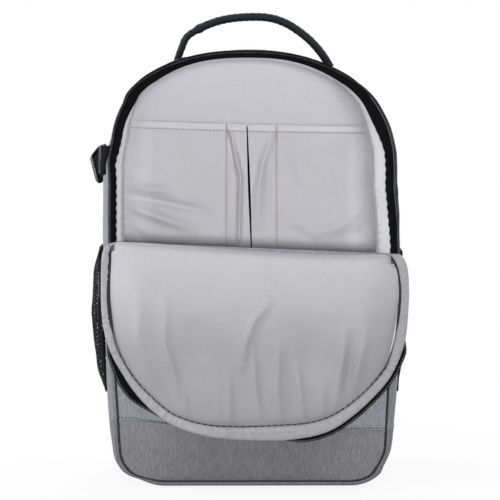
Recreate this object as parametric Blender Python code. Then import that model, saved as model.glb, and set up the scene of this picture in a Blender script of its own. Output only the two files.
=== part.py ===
"""Front-opening camera backpack standing on its base, its padded front flap unzipped and hanging open.

Metres, +Z up. X is the wearer-facing width, -Y the front, +Y the back panel that lies on the back.
The origin is on the floor under the middle of the bag.
"""

import math

import bmesh
import bpy
import numpy as np
from mathutils import Matrix, Vector

# Body of the bag
BODY_HEIGHT = 0.4375
BODY_DEPTH = 0.150
BASE_HALF_WIDTH = 0.1375
DOME_HALF_WIDTH = 0.143
DOME_HEIGHT = 0.106
SIDE_BOW = 0.003
CORNER_RADIUS = 0.046
SIDE_SWELL = 0.005
BASE_SWELL = 0.0015
SWELL_RISE = 0.080
EDGE_ROUNDING = 0.022
DOME_EXPONENT_SHARE = 2.35
GAP = 0.0003

# Layers of the walls
SHELL_WALL = 0.004
SHELL_EDGE = 0.0022
BACK_ROLL = 0.011
LINING_WALL = 0.004
PANEL_WALL = 0.004
BOARD_WALL = 0.0015
BACK_LINING_WALL = 0.0075
BASE_SEAM_HEIGHT = 0.062
FLOOR_PAD_THICKNESS = 0.006
FLOOR_PAD_MARGIN = 0.004

# Front piping between the panels and the gusset
PIPING_RADIUS = 0.0013

# Mouth zip
FOLD_HEIGHT = 0.233
TAPE_THICKNESS = 0.0013
TAPE_WIDTH = 0.0078
COIL_WIDTH = 0.0023
COIL_PROUD = 0.0006
ZIP_GARAGE = 0.030
SLIDER_LENGTH = 0.011
SLIDER_WIDTH = 0.0062
SLIDER_DEPTH = 0.0042
SLIDER_PARK = 0.018
SLIDER_TRAVEL = 0.060
SLIDER_BEVEL = 0.0009
PULL_LENGTH = 0.026
PULL_WIDTH = 0.0040
PULL_THICKNESS = 0.0016

# Front flap and its soft fold
FOLD_LENGTH = 0.010
FLAP_LINING_SIDE = 0.003
FLAP_CROWN = 0.007
FOLD_BACKING = 0.004
FLAP_FOAM = 0.0055
FLAP_OUTER = 0.003
BINDING_OUTSET = 0.0042
BINDING_WIDTH = 0.0104
FLAP_TAPE_WIDTH = 0.0039
FOLD_MARGIN = 0.006
HEM_HEIGHT = 0.010

# Slip pockets on the back wall
POCKET_TOP = 0.370
POCKET_BOTTOM = 0.190
POCKET_HALF_SPAN = 0.125
POCKET_FABRIC = 0.002
PEN_POCKET_WIDTH = 0.027
PEN_SLIT = 0.0010

# Grab handle
HANDLE_HALF_SPAN = 0.0745
HANDLE_RISE = 0.045
HANDLE_THICKNESS = 0.008
HANDLE_WIDTH = 0.022
HANDLE_FOOT_WIDTH = 0.009
HANDLE_SET_BACK = 0.030
HANDLE_TAB_LENGTH = 0.020
HANDLE_TAB_WIDTH = 0.026
HANDLE_TAB_THICKNESS = 0.0025

# Side pockets
MESH_POCKET_BOTTOM = 0.099
MESH_POCKET_TOP = 0.242
MESH_POCKET_HALF_DEPTH = 0.054
MESH_POCKET_BULGE_LEFT = 0.0125
MESH_POCKET_BULGE_RIGHT = 0.0075
MESH_THICKNESS = 0.0014
ELASTIC_HEIGHT = 0.009
ELASTIC_THICKNESS = 0.0022

# Side strap and buckle
SIDE_STRAP_HEIGHT = 0.323
SIDE_STRAP_WIDTH = 0.030
WEBBING_THICKNESS = 0.0016
BUCKLE_WIDTH = 0.038
BUCKLE_THICKNESS = 0.0092
BUCKLE_WALL = 0.0018
SOCKET_LENGTH = 0.030
PLUG_BASE_LENGTH = 0.015
PRONG_LENGTH = 0.020
PRONG_WIDTH = 0.0055
PRONG_CLEARANCE = 0.0005
BUCKLE_SLOT = 0.0045
BUCKLE_BAR = 0.0035
BUCKLE_BEVEL = 0.0012
BUCKLE_STAND_OFF = 0.0024
STRAP_TACK = 0.012
SIDE_LOOP_HEIGHT = 0.298
SIDE_LOOP_WIDTH = 0.012

# Back pads and carrying harness
PAD_HALF_GAP = 0.012
PAD_SIDE_MARGIN = 0.022
YOKE_DROP = 0.0755
YOKE_BOTTOM = BODY_HEIGHT - YOKE_DROP
YOKE_HEIGHT = 0.040
YOKE_HALF_WIDTH = 0.090
YOKE_THICKNESS = 0.005
YOKE_ROUND = 0.008
PAD_BOTTOM = 0.125
PAD_CLEARANCE = 0.010
PAD_TOP = YOKE_BOTTOM - PAD_CLEARANCE
PAD_THICKNESS = 0.009
PAD_ROUND = 0.024
LUMBAR_BOTTOM = 0.036
LUMBAR_TOP = 0.117
LUMBAR_THICKNESS = 0.011
STRAP_TOP_X = 0.052
STRAP_SPREAD = 0.046
STRAP_SEAT = 0.023
STRAP_TOP_HEIGHT = YOKE_BOTTOM + STRAP_SEAT
STRAP_LENGTH = 0.240
STRAP_WIDTH = 0.058
STRAP_THICKNESS = 0.009
STRAP_STAND_OFF = 0.022
LOCK_LENGTH = 0.026
LOCK_WIDTH = 0.034
LOCK_THICKNESS = 0.005
LOCK_SLOT = 0.004
LOCK_BAR = 0.004
LOCK_BEVEL = 0.001
LOWER_WEBBING_WIDTH = 0.025
LOWER_ANCHOR_X = 0.100
LOWER_ANCHOR_HEIGHT = 0.024
LOWER_ANCHOR_SIZE = 0.030
LOWER_ANCHOR_THICKNESS = 0.0022
ANCHOR_ROUND = 0.003

# Padded dividers
DIVIDER_THICKNESS = 0.008
DIVIDER_HEIGHT = 0.157
DIVIDER_OFFSET = 0.048
DIVIDER_ROUND = 0.0025
SHELF_HEIGHT = 0.088

# Fineness of the round stretches
CORNER_STEPS = 6
SIDE_STEPS = 8
DOME_STEPS = 12
HANDLE_STEPS = 22
STRAP_STEPS = 12
POCKET_ROWS = 9
POCKET_COLUMNS = 10
REACH_STEPS = 9

FRONT_Y = -BODY_DEPTH / 2
BACK_Y = BODY_DEPTH / 2
BODY_BOTTOM = BASE_SWELL
DOME_BASE = BODY_HEIGHT - DOME_HEIGHT
FOLD_Y = FRONT_Y - GAP - TAPE_THICKNESS - COIL_PROUD - GAP - FLAP_LINING_SIDE
FLAP_Y = FOLD_Y - FOLD_LENGTH
LINING_OFFSET = SHELL_WALL + GAP
INNER_OFFSET = LINING_OFFSET + LINING_WALL
PANEL_OFFSET = SHELL_WALL + 2 * GAP + 2 * PIPING_RADIUS
BOARD_Y = BACK_Y - PANEL_WALL - GAP - BOARD_WALL
BACK_LINING_Y = BOARD_Y - GAP - BACK_LINING_WALL
FRONT_LINING_Y = FRONT_Y + PANEL_WALL + GAP + LINING_WALL
FLOOR_TOP = BODY_BOTTOM + INNER_OFFSET + GAP + FLOOR_PAD_THICKNESS


def clear_scene():
    for item in list(bpy.data.objects):
        bpy.data.objects.remove(item, do_unlink=True)


def make_material(name, colour_hex, roughness, metallic=0.0):
    """A plain Principled finish, its colour given as sRGB hex and turned linear."""
    channels = [int(colour_hex[i:i + 2], 16) / 255 for i in (1, 3, 5)]
    linear = [c / 12.92 if c <= 0.04045 else ((c + 0.055) / 1.055) ** 2.4 for c in channels]
    finish = bpy.data.materials.new(name)
    finish.use_nodes = True
    shader = finish.node_tree.nodes["Principled BSDF"]
    shader.inputs["Base Color"].default_value = (*linear, 1.0)
    shader.inputs["Roughness"].default_value = roughness
    shader.inputs["Metallic"].default_value = metallic
    return finish


def add_object(name, mesh, finish):
    mesh.materials.clear()
    mesh.materials.append(finish)
    mesh.shade_smooth()
    mesh.set_sharp_from_angle(angle=math.radians(32))
    item = bpy.data.objects.new(name, mesh)
    bpy.context.scene.collection.objects.link(item)
    return item


def mesh_from_bmesh(name, shape):
    bmesh.ops.recalc_face_normals(shape, faces=shape.faces)
    mesh = bpy.data.meshes.new(name)
    shape.to_mesh(mesh)
    shape.free()
    return mesh


def ring_mesh(name, rings, closed=False):
    """One closed body from a row of rings with equal point counts, capped at both ends unless closed."""
    shape = bmesh.new()
    rows = [[shape.verts.new(point) for point in ring] for ring in rings]
    count = len(rows[0])
    spans = len(rows) if closed else len(rows) - 1
    for i in range(spans):
        here, there = rows[i], rows[(i + 1) % len(rows)]
        for j in range(count):
            k = (j + 1) % count
            shape.faces.new((here[j], here[k], there[k], there[j]))
    if not closed:
        shape.faces.new(rows[0])
        shape.faces.new(rows[-1])
    return mesh_from_bmesh(name, shape)


def ring_solid(name, rings, finish, closed=False):
    return add_object(name, ring_mesh(name, rings, closed), finish)


def smooth_step(share):
    share = np.clip(share, 0.0, 1.0)
    return share * share * (3 - 2 * share)


def right_outline():
    """Right half of the front outline, bottom centre to top centre, as points and outward normals.

    Flat base, a round bottom corner, a side that bows like half a sine wave, and a superellipse dome.
    """
    corner_x = BASE_HALF_WIDTH - CORNER_RADIUS
    corner_z = BODY_BOTTOM + CORNER_RADIUS
    base = [(0.0, BODY_BOTTOM), (corner_x / 2, BODY_BOTTOM)]
    turns = [-math.pi / 2 * (1 - i / CORNER_STEPS) for i in range(CORNER_STEPS + 1)]
    corner = [(corner_x + CORNER_RADIUS * math.cos(turn), corner_z + CORNER_RADIUS * math.sin(turn))
              for turn in turns]
    side = []
    for i in range(1, SIDE_STEPS):
        share = i / SIDE_STEPS
        straight = BASE_HALF_WIDTH + (DOME_HALF_WIDTH - BASE_HALF_WIDTH) * share
        bow = SIDE_BOW * math.sin(math.pi * share)
        side.append((straight + bow, corner_z + (DOME_BASE - corner_z) * share))
    dome = []
    power = 2 / DOME_EXPONENT_SHARE
    for i in range(DOME_STEPS + 1):
        angle = math.pi / 2 * i / DOME_STEPS
        across = max(math.cos(angle), 0.0) ** power if i < DOME_STEPS else 0.0
        dome.append((DOME_HALF_WIDTH * across, DOME_BASE + DOME_HEIGHT * math.sin(angle) ** power))
    points = np.array(base + corner + side + dome)
    before = np.vstack([points[1] * [-1, 1], points[:-1]])
    after = np.vstack([points[1:], points[-2] * [-1, 1]])
    along = after - before
    normals = np.column_stack([along[:, 1], -along[:, 0]])
    return points, normals / np.linalg.norm(normals, axis=1)[:, None]


OUTLINE, NORMALS = right_outline()


def outline_parameter(height):
    """Fractional index on the right outline at a height; zero at the bottom centre."""
    heights = OUTLINE[2:, 1]
    if height <= heights[0] + GAP:
        return 0.0
    return 2 + float(np.interp(height, heights, np.arange(len(heights))))


def side_points(low, high, offset=0.0, swell_share=0.0):
    """Right outline between two heights, moved inward by offset and outward by a share of the swell."""
    first, last = outline_parameter(low), outline_parameter(high)
    inner = [i for i in range(len(OUTLINE)) if first < i < last]
    where = np.array([first] + inner + [last])
    index = np.arange(len(OUTLINE))
    points = np.column_stack([np.interp(where, index, OUTLINE[:, axis]) for axis in (0, 1)])
    normals = np.column_stack([np.interp(where, index, NORMALS[:, axis]) for axis in (0, 1)])
    rise = smooth_step((points[:, 1] - BODY_BOTTOM) / SWELL_RISE)
    swell = BASE_SWELL + (SIDE_SWELL - BASE_SWELL) * rise
    return points + normals * (swell * swell_share - offset)[:, None]


def mirrored(points):
    return points * [-1, 1]


def arch(low, offset=0.0, swell_share=0.0):
    """From the right side at a height, over the dome, to the left side."""
    right = side_points(low, BODY_HEIGHT, offset, swell_share)
    return np.vstack([right, mirrored(right)[-2::-1]])


def cradle(high, offset=0.0, swell_share=0.0):
    """From the left side at a height, under the base, to the right side."""
    right = side_points(BODY_BOTTOM, high, offset, swell_share)
    return np.vstack([mirrored(right)[:0:-1], right])


def region(low, high, offset=0.0):
    """Closed outline of the front between two heights."""
    right = side_points(low, high, offset)
    left = mirrored(right)[::-1]
    touching_top = right[-1, 0] < GAP
    touching_bottom = right[0, 0] < GAP
    left = left[1:] if touching_top else left
    left = left[:-1] if touching_bottom else left
    return np.vstack([right, left])


def sweep(name, path, section, finish, closed=False):
    """A wall or a cord: each section point (offset, y, swell share) follows its own copy of the path."""
    lines = []
    for offset, y, swell_share in section:
        flat = path(offset, swell_share)
        lines.append(np.column_stack([flat[:, 0], np.full(len(flat), y), flat[:, 1]]))
    return ring_solid(name, np.stack(lines, axis=1), finish, closed)


def slab(name, outline, levels, finish):
    """A plate or pad: the outline drawn towards its middle by a share at each depth (y, share)."""
    middle = (outline.max(axis=0) + outline.min(axis=0)) / 2
    rings = []
    for y, share in levels:
        flat = middle + (outline - middle) * share
        rings.append(np.column_stack([flat[:, 0], np.full(len(flat), y), flat[:, 1]]))
    return ring_solid(name, rings, finish)


def rounded_rectangle(low, high, radius, steps=3):
    """Closed (x, z) outline of a rectangle with round corners."""
    corners = ((high[0], low[1], -90), (high[0], high[1], 0), (low[0], high[1], 90), (low[0], low[1], 180))
    points = []
    for x, z, start in corners:
        centre_x = x - radius if x == high[0] else x + radius
        centre_z = z - radius if z == high[1] else z + radius
        for i in range(steps + 1):
            angle = math.radians(start + 90 * i / steps)
            points.append((centre_x + radius * math.cos(angle), centre_z + radius * math.sin(angle)))
    return np.array(points)


def block(name, low, high, bevel, finish):
    """A box with every edge chamfered."""
    shape = bmesh.new()
    bmesh.ops.create_cube(shape, size=1.0)
    low, high = Vector(low), Vector(high)
    size = high - low
    bmesh.ops.scale(shape, vec=size, verts=shape.verts)
    bmesh.ops.translate(shape, vec=(low + high) / 2, verts=shape.verts)
    if bevel:
        bmesh.ops.bevel(shape, geom=shape.edges, offset=bevel, segments=1, affect="EDGES")
    return add_object(name, mesh_from_bmesh(name, shape), finish)


def cut(item, low, high):
    """Take a box out of a piece."""
    cutter = block(item.name + "_cutter", low, high, 0.0, item.data.materials[0])
    cutter.hide_render = True
    cutter.display_type = "WIRE"
    cutter.parent = item
    boolean = item.modifiers.new("opening", "BOOLEAN")
    boolean.object = cutter
    boolean.operation = "DIFFERENCE"
    boolean.solver = "EXACT"


def join(item, low, high, bevel):
    """Add a box to a piece and melt both into one body."""
    extra = block(item.name + "_addition", low, high, bevel, item.data.materials[0])
    extra.hide_render = True
    extra.display_type = "WIRE"
    extra.parent = item
    boolean = item.modifiers.new("addition", "BOOLEAN")
    boolean.object = extra
    boolean.operation = "UNION"
    boolean.solver = "EXACT"


def hang_on(name, pivot, pieces):
    """Parent pieces to an empty that stands on their joint's axis."""
    pivot_empty = bpy.data.objects.new(name, None)
    pivot_empty.location = pivot
    bpy.context.scene.collection.objects.link(pivot_empty)
    for piece in pieces:
        piece.parent = pivot_empty
        piece.matrix_parent_inverse = Matrix.Translation(pivot).inverted()
    return pivot_empty


def strip(name, centres, across, width, thickness, finish, widths=None, thicknesses=None, hump_share=0.55):
    """A strap: an eight-sided section carried along its centre line, its width along the across vector."""
    centres = np.array(centres)
    across = np.array(across, dtype=float)
    along = np.gradient(centres, axis=0)
    up = np.cross(along, across)
    up /= np.linalg.norm(up, axis=1)[:, None]
    half_widths = np.array([width] * len(centres) if widths is None else widths) / 2
    thicknesses = [thickness] * len(centres) if thicknesses is None else thicknesses
    half_thicknesses = np.array(thicknesses) / 2
    shares = ((1, hump_share), (0.86, 1), (-0.86, 1), (-1, hump_share),
              (-1, -hump_share), (-0.86, -1), (0.86, -1), (1, -hump_share))
    rings = []
    for i, centre in enumerate(centres):
        side, face = across * half_widths[i], up[i] * half_thicknesses[i]
        rings.append([centre + side * a + face * b for a, b in shares])
    return ring_solid(name, rings, finish)


def shell_section():
    """Cross-section of the gusset: rounded front edge, flat side, rolled back edge, even wall."""
    return [
        (SHELL_WALL, FRONT_Y, 0.0),
        (SHELL_EDGE, FRONT_Y, 0.0),
        (GAP, FRONT_Y + EDGE_ROUNDING * 0.12, 0.2),
        (0.0, FRONT_Y + EDGE_ROUNDING * 0.45, 0.75),
        (0.0, FRONT_Y + EDGE_ROUNDING, 1.0),
        (0.0, BACK_Y - EDGE_ROUNDING, 1.0),
        (0.0, BACK_Y - EDGE_ROUNDING * 0.4, 0.6),
        (BACK_ROLL * 0.22, BACK_Y - EDGE_ROUNDING * 0.13, 0.1),
        (BACK_ROLL * 0.65, BACK_Y, 0.0),
        (BACK_ROLL, BACK_Y, 0.0),
        (BACK_ROLL, BACK_Y - SHELL_EDGE, 0.0),
        (SHELL_WALL, BACK_Y - PANEL_WALL - BOARD_WALL, 0.0),
    ]


def make_shells(finishes):
    section = shell_section()
    sweep("gusset_shell", lambda o, s: arch(BASE_SEAM_HEIGHT + GAP, o, s), section, finishes["heather"])
    sweep("base_shell", lambda o, s: cradle(BASE_SEAM_HEIGHT, o, s), section, finishes["base"])
    base = region(BODY_BOTTOM, BASE_SEAM_HEIGHT, PANEL_OFFSET)
    upper = region(BASE_SEAM_HEIGHT + GAP, FOLD_HEIGHT, PANEL_OFFSET)
    for name, outline in (("front_base_panel", base), ("front_upper_panel", upper)):
        slab(name, outline, ((FRONT_Y, 1.0), (FRONT_Y + PANEL_WALL, 1.0)), finishes["heather"])
    centre = SHELL_WALL + GAP + PIPING_RADIUS
    centre_y = FRONT_Y + PIPING_RADIUS - GAP
    section = []
    for i in range(6):
        angle = math.radians(60 * i)
        out, forward = PIPING_RADIUS * math.cos(angle), PIPING_RADIUS * math.sin(angle)
        section.append((centre + out, centre_y + forward, 0.0))
    top = FOLD_HEIGHT - ZIP_GARAGE - GAP
    sweep("front_piping", lambda o, s: cradle(top, o, s), section, finishes["piping"])
    back = region(BODY_BOTTOM, BODY_HEIGHT, BACK_ROLL + GAP)
    slab("back_panel", back, ((BACK_Y - PANEL_WALL, 1.0), (BACK_Y, 1.0)), finishes["back"])
    board = region(BODY_BOTTOM, BODY_HEIGHT, BACK_ROLL + GAP)
    slab("stiffener_board", board, ((BOARD_Y, 1.0), (BOARD_Y + BOARD_WALL, 1.0)), finishes["board"])


def make_linings(finishes):
    lining = finishes["lining"]
    back = region(BODY_BOTTOM, BODY_HEIGHT, INNER_OFFSET + GAP)
    slab("back_lining", back, ((BACK_LINING_Y, 1.0), (BACK_LINING_Y + BACK_LINING_WALL, 1.0)), lining)
    wall_back = BACK_LINING_Y - GAP + BACK_LINING_WALL
    section = [(LINING_OFFSET, FRONT_Y + PANEL_WALL + GAP, 0.0), (LINING_OFFSET, wall_back, 0.0),
               (INNER_OFFSET, wall_back, 0.0), (INNER_OFFSET, FRONT_Y + PANEL_WALL + GAP, 0.0)]

    def around(offset, swell_share):
        return region(BODY_BOTTOM, BODY_HEIGHT, offset)

    sweep("wall_lining", around, section, lining, closed=True)
    front = region(BODY_BOTTOM, FOLD_HEIGHT - HEM_HEIGHT / 2, INNER_OFFSET + GAP)
    slab("front_lining", front, ((FRONT_LINING_Y - LINING_WALL, 1.0), (FRONT_LINING_Y, 1.0)), lining)
    floor_low = FRONT_LINING_Y + GAP
    floor_high = BACK_LINING_Y - GAP
    floor_half = BASE_HALF_WIDTH - CORNER_RADIUS - FLOOR_PAD_MARGIN
    floor_bottom = FLOOR_TOP - FLOOR_PAD_THICKNESS
    block("floor_pad", (-floor_half, floor_low, floor_bottom), (floor_half, floor_high, FLOOR_TOP),
          DIVIDER_ROUND, lining)
    face = BACK_LINING_Y - GAP - POCKET_FABRIC
    spans = (
        ("slip_pocket_left", -POCKET_HALF_SPAN, -PEN_POCKET_WIDTH - GAP),
        ("pen_pocket_left", -PEN_POCKET_WIDTH, -PEN_SLIT),
        ("pen_pocket_right", PEN_SLIT, PEN_POCKET_WIDTH),
        ("slip_pocket_right", PEN_POCKET_WIDTH + GAP, POCKET_HALF_SPAN),
    )
    for name, left, right in spans:
        outline = np.array([(left, POCKET_BOTTOM), (right, POCKET_BOTTOM),
                            (right, POCKET_TOP), (left, POCKET_TOP)])
        slab(name, outline, ((face, 1.0), (face + POCKET_FABRIC, 1.0)), lining)


def make_mouth_zip(finishes):
    low = FOLD_HEIGHT - ZIP_GARAGE
    back = FRONT_Y - GAP
    tape_inner = COIL_WIDTH + GAP + TAPE_WIDTH
    section = [(COIL_WIDTH + GAP, back, 0.0), (COIL_WIDTH + GAP, back - TAPE_THICKNESS, 0.0),
               (tape_inner, back - TAPE_THICKNESS, 0.0), (tape_inner, back, 0.0)]
    sweep("mouth_zip_tape", lambda o, s: arch(low, o, s), section, finishes["tape"])
    front = back - TAPE_THICKNESS - COIL_PROUD
    middle = (front + back) / 2
    section = [(0.0, middle, 0.0), (COIL_WIDTH * 0.25, front, 0.0), (COIL_WIDTH * 0.75, front, 0.0),
               (COIL_WIDTH, middle, 0.0), (COIL_WIDTH * 0.75, back, 0.0), (COIL_WIDTH * 0.25, back, 0.0)]
    sweep("mouth_zip_coil", lambda o, s: arch(low, o, s), section, finishes["coil"])
    park = FOLD_HEIGHT - SLIDER_PARK
    for side, name in ((-1, "left"), (1, "right")):
        run = side_points(park, park + SLIDER_TRAVEL)
        inner = run[:, 0].max() + 2 * GAP
        outer = inner + SLIDER_WIDTH
        xs = sorted((side * inner, side * outer))
        slider_low = (xs[0], FRONT_Y - SLIDER_DEPTH, park - SLIDER_LENGTH / 2)
        slider_high = (xs[1], FRONT_Y - GAP, park + SLIDER_LENGTH / 2)
        slider = block("zip_slider_" + name, slider_low, slider_high, SLIDER_BEVEL, finishes["metal"])
        pull_x = sorted((side * (outer + GAP), side * (outer + GAP + PULL_THICKNESS)))
        pull_y = (slider_low[1] + slider_high[1]) / 2
        pull_top = park + SLIDER_LENGTH / 4
        pull_low = (pull_x[0], pull_y - PULL_WIDTH / 2, pull_top - PULL_LENGTH)
        pull_high = (pull_x[1], pull_y + PULL_WIDTH / 2, pull_top)
        pull = block("zip_pull_" + name, pull_low, pull_high, PULL_THICKNESS / 4, finishes["metal"])
        park_point = (side * inner, FRONT_Y, park)
        hang_on("zip_slider_axis_" + name, park_point, [slider])
        hang_on("zip_pull_axis_" + name, (side * (outer + GAP + PULL_THICKNESS / 2), pull_y, pull_top), [pull])


def hung(points):
    """Closed-flap outline heights turned down to where they hang at rest."""
    return np.column_stack([points[:, 0], 2 * FOLD_HEIGHT + FOLD_LENGTH - points[:, 1]])


def make_flap(finishes):
    start = FOLD_HEIGHT + FOLD_LENGTH
    pieces = []
    binding_inner = BINDING_OUTSET + BINDING_WIDTH
    lining_face = FLAP_Y - FLAP_LINING_SIDE
    outline = hung(region(start + GAP, BODY_HEIGHT, binding_inner + GAP))
    levels = ((FLAP_Y - GAP / 2, 1.0), (lining_face, 0.995), (lining_face - FLAP_CROWN * 0.6, 0.93),
              (lining_face - FLAP_CROWN, 0.80))
    pieces.append(slab("flap_lining", outline, levels, finishes["lining"]))
    foam_back = FLAP_Y + GAP / 2 + FLAP_FOAM
    outline = hung(region(start + FOLD_BACKING + GAP, BODY_HEIGHT, binding_inner + GAP))
    pieces.append(slab("flap_foam", outline, ((FLAP_Y + GAP / 2, 1.0), (foam_back, 1.0)), finishes["foam"]))
    outline = hung(region(start + FOLD_BACKING + GAP, BODY_HEIGHT, BINDING_OUTSET))
    outer_face = foam_back + GAP + FLAP_OUTER
    levels = ((foam_back + GAP, 1.0), (outer_face - FLAP_OUTER * 0.4, 1.0), (outer_face, 0.985))
    pieces.append(slab("flap_outer_panel", outline, levels, finishes["heather"]))

    def flap_arch(low):
        return lambda offset, swell_share: hung(arch(low, offset, swell_share))

    mid = (BINDING_OUTSET + binding_inner) / 2
    section = [(BINDING_OUTSET, FLAP_Y - FLAP_LINING_SIDE * 0.4, 0.0),
               (BINDING_OUTSET + BINDING_WIDTH * 0.2, lining_face, 0.0), (mid, lining_face, 0.0),
               (binding_inner, FLAP_Y - FLAP_LINING_SIDE * 0.7, 0.0), (binding_inner, foam_back - GAP, 0.0),
               (BINDING_OUTSET, foam_back, 0.0)]
    pieces.append(sweep("flap_binding", flap_arch(start + FOLD_BACKING + GAP), section, finishes["binding"]))
    coil_back = FLAP_Y + FLAP_LINING_SIDE * 0.5
    tape_outer = BINDING_OUTSET - GAP - FLAP_TAPE_WIDTH + COIL_WIDTH
    tape_inner = BINDING_OUTSET - GAP
    section = [(tape_outer, coil_back - TAPE_THICKNESS, 0.0), (tape_inner, coil_back - TAPE_THICKNESS, 0.0),
               (tape_inner, coil_back, 0.0), (tape_outer, coil_back, 0.0)]
    pieces.append(sweep("flap_zip_tape", flap_arch(start + FOLD_BACKING + GAP), section, finishes["tape"]))
    front = coil_back - TAPE_THICKNESS - COIL_PROUD
    middle = (front + coil_back) / 2
    edge = tape_outer - GAP
    section = [(edge, middle, 0.0), (edge * 0.7, front, 0.0), (edge * 0.3, front, 0.0),
               (0.0, middle, 0.0), (edge * 0.3, coil_back, 0.0), (edge * 0.7, coil_back, 0.0)]
    pieces.append(sweep("flap_zip_coil", flap_arch(start + FOLD_BACKING + GAP), section, finishes["coil"]))
    hang_on("flap_axis", (0.0, FLAP_Y, FOLD_HEIGHT), pieces)
    half = side_points(FOLD_HEIGHT, start)[0, 0] - FOLD_MARGIN
    strip_outline = [(FLAP_Y + GAP, FOLD_HEIGHT - FOLD_BACKING), (FOLD_Y - GAP, FOLD_HEIGHT - FOLD_BACKING),
                     (FOLD_Y - GAP / 2, FOLD_HEIGHT + FLAP_LINING_SIDE * 0.8),
                     (FOLD_Y - FOLD_LENGTH * 0.3, FOLD_HEIGHT + FLAP_LINING_SIDE),
                     (FLAP_Y + FOLD_LENGTH * 0.3, FOLD_HEIGHT + FLAP_LINING_SIDE),
                     (FLAP_Y + GAP, FOLD_HEIGHT + FLAP_LINING_SIDE * 0.8)]
    rings = [[(x, y, z) for y, z in strip_outline] for x in (-half, half)]
    fold = ring_solid("fold_strip", rings, finishes["lining"])
    hang_on("fold_axis", (0.0, FOLD_Y, FOLD_HEIGHT), [fold])
    hem_half = side_points(FOLD_HEIGHT, start)[0, 0] - COIL_WIDTH - TAPE_WIDTH - 2 * GAP
    block("fold_hem", (-hem_half, FOLD_Y + GAP, FOLD_HEIGHT - HEM_HEIGHT),
          (hem_half, FRONT_Y - GAP, FOLD_HEIGHT - GAP), GAP, finishes["lining"])


def make_handle(finishes):
    foot = side_points(DOME_BASE, BODY_HEIGHT, 0.0, 1.0)
    foot_height = float(np.interp(-HANDLE_HALF_SPAN, -foot[:, 0], foot[:, 1]))
    inner_height = float(np.interp(-HANDLE_HALF_SPAN + HANDLE_THICKNESS / 2, -foot[:, 0], foot[:, 1]))
    slope = (inner_height - foot_height) / (HANDLE_THICKNESS / 2)
    radius = HANDLE_FOOT_WIDTH / 2
    axis_height = inner_height + HANDLE_TAB_THICKNESS * math.hypot(1, slope) + 2 * GAP + radius
    axis_y = BACK_Y - HANDLE_SET_BACK - HANDLE_WIDTH / 2
    centres, widths = [], []
    dips = (0.98, 0.85, 0.5)
    for dip in dips:
        centres.append((HANDLE_HALF_SPAN, axis_y, axis_height - radius * dip))
        widths.append(2 * radius * math.sqrt(1 - dip * dip))
    for i in range(HANDLE_STEPS + 1):
        angle = math.pi * i / HANDLE_STEPS
        lift = HANDLE_RISE * math.sin(angle)
        centres.append((HANDLE_HALF_SPAN * math.cos(angle), axis_y, axis_height + lift))
        grip = float(smooth_step(math.sin(angle) * 1.5))
        widths.append(HANDLE_FOOT_WIDTH + (HANDLE_WIDTH - HANDLE_FOOT_WIDTH) * grip)
    for dip in reversed(dips):
        centres.append((-HANDLE_HALF_SPAN, axis_y, axis_height - radius * dip))
        widths.append(2 * radius * math.sqrt(1 - dip * dip))
    handle = strip("grab_handle", centres, (0, 1, 0), HANDLE_WIDTH, HANDLE_THICKNESS, finishes["wrap"],
                   widths=widths)
    hang_on("handle_axis", (0.0, axis_y, axis_height), [handle])
    for side, name in ((-1, "left"), (1, "right")):
        tab = block("handle_tab_" + name,
                    (-HANDLE_TAB_LENGTH / 2, -HANDLE_TAB_WIDTH / 2, GAP),
                    (HANDLE_TAB_LENGTH / 2, HANDLE_TAB_WIDTH / 2, GAP + HANDLE_TAB_THICKNESS),
                    HANDLE_TAB_THICKNESS / 4, finishes["webbing"])
        tab.location = (side * HANDLE_HALF_SPAN, axis_y, foot_height)
        tab.rotation_euler = (0.0, side * math.atan(slope), 0.0)


def gusset_x(height, offset=0.0):
    return float(side_points(height, BODY_HEIGHT, offset, 1.0)[0, 0])


def gusset_reach(low, high):
    """The farthest that the gusset's side stands out between two heights."""
    return max(gusset_x(height) for height in np.linspace(low, high, REACH_STEPS))


def make_side_pockets(finishes):
    """Stretch pockets: a sheet that swells like a half sine wave across the depth and up the side."""
    for side, name, bulge in ((-1, "left", MESH_POCKET_BULGE_LEFT), (1, "right", MESH_POCKET_BULGE_RIGHT)):
        def standoff(height_share, y):
            across = math.cos(math.pi / 2 * min(abs(y) / MESH_POCKET_HALF_DEPTH, 1.0)) ** 0.6
            up = math.sin(math.pi * min(0.04 + 0.72 * height_share, 1.0)) ** 0.7
            return bulge * across * up

        heights = np.linspace(MESH_POCKET_BOTTOM, MESH_POCKET_TOP - ELASTIC_HEIGHT - GAP, POCKET_ROWS)
        depths = np.linspace(-MESH_POCKET_HALF_DEPTH, MESH_POCKET_HALF_DEPTH, POCKET_COLUMNS)

        def pocket_ring(height, thickness):
            share = (height - MESH_POCKET_BOTTOM) / (MESH_POCKET_TOP - MESH_POCKET_BOTTOM)
            inner = [gusset_x(height) + GAP + standoff(share, y) for y in depths]
            outside = [(side * (x + thickness), y, height) for x, y in zip(inner, depths)]
            inside = [(side * x, y, height) for x, y in zip(inner, depths)]
            return outside + inside[::-1]

        rings = [pocket_ring(height, MESH_THICKNESS) for height in heights]
        ring_solid("side_pocket_" + name, rings, finishes["mesh"])
        band = [pocket_ring(height, ELASTIC_THICKNESS)
                for height in (MESH_POCKET_TOP - ELASTIC_HEIGHT, MESH_POCKET_TOP)]
        ring_solid("pocket_elastic_" + name, band, finishes["webbing"])


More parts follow.
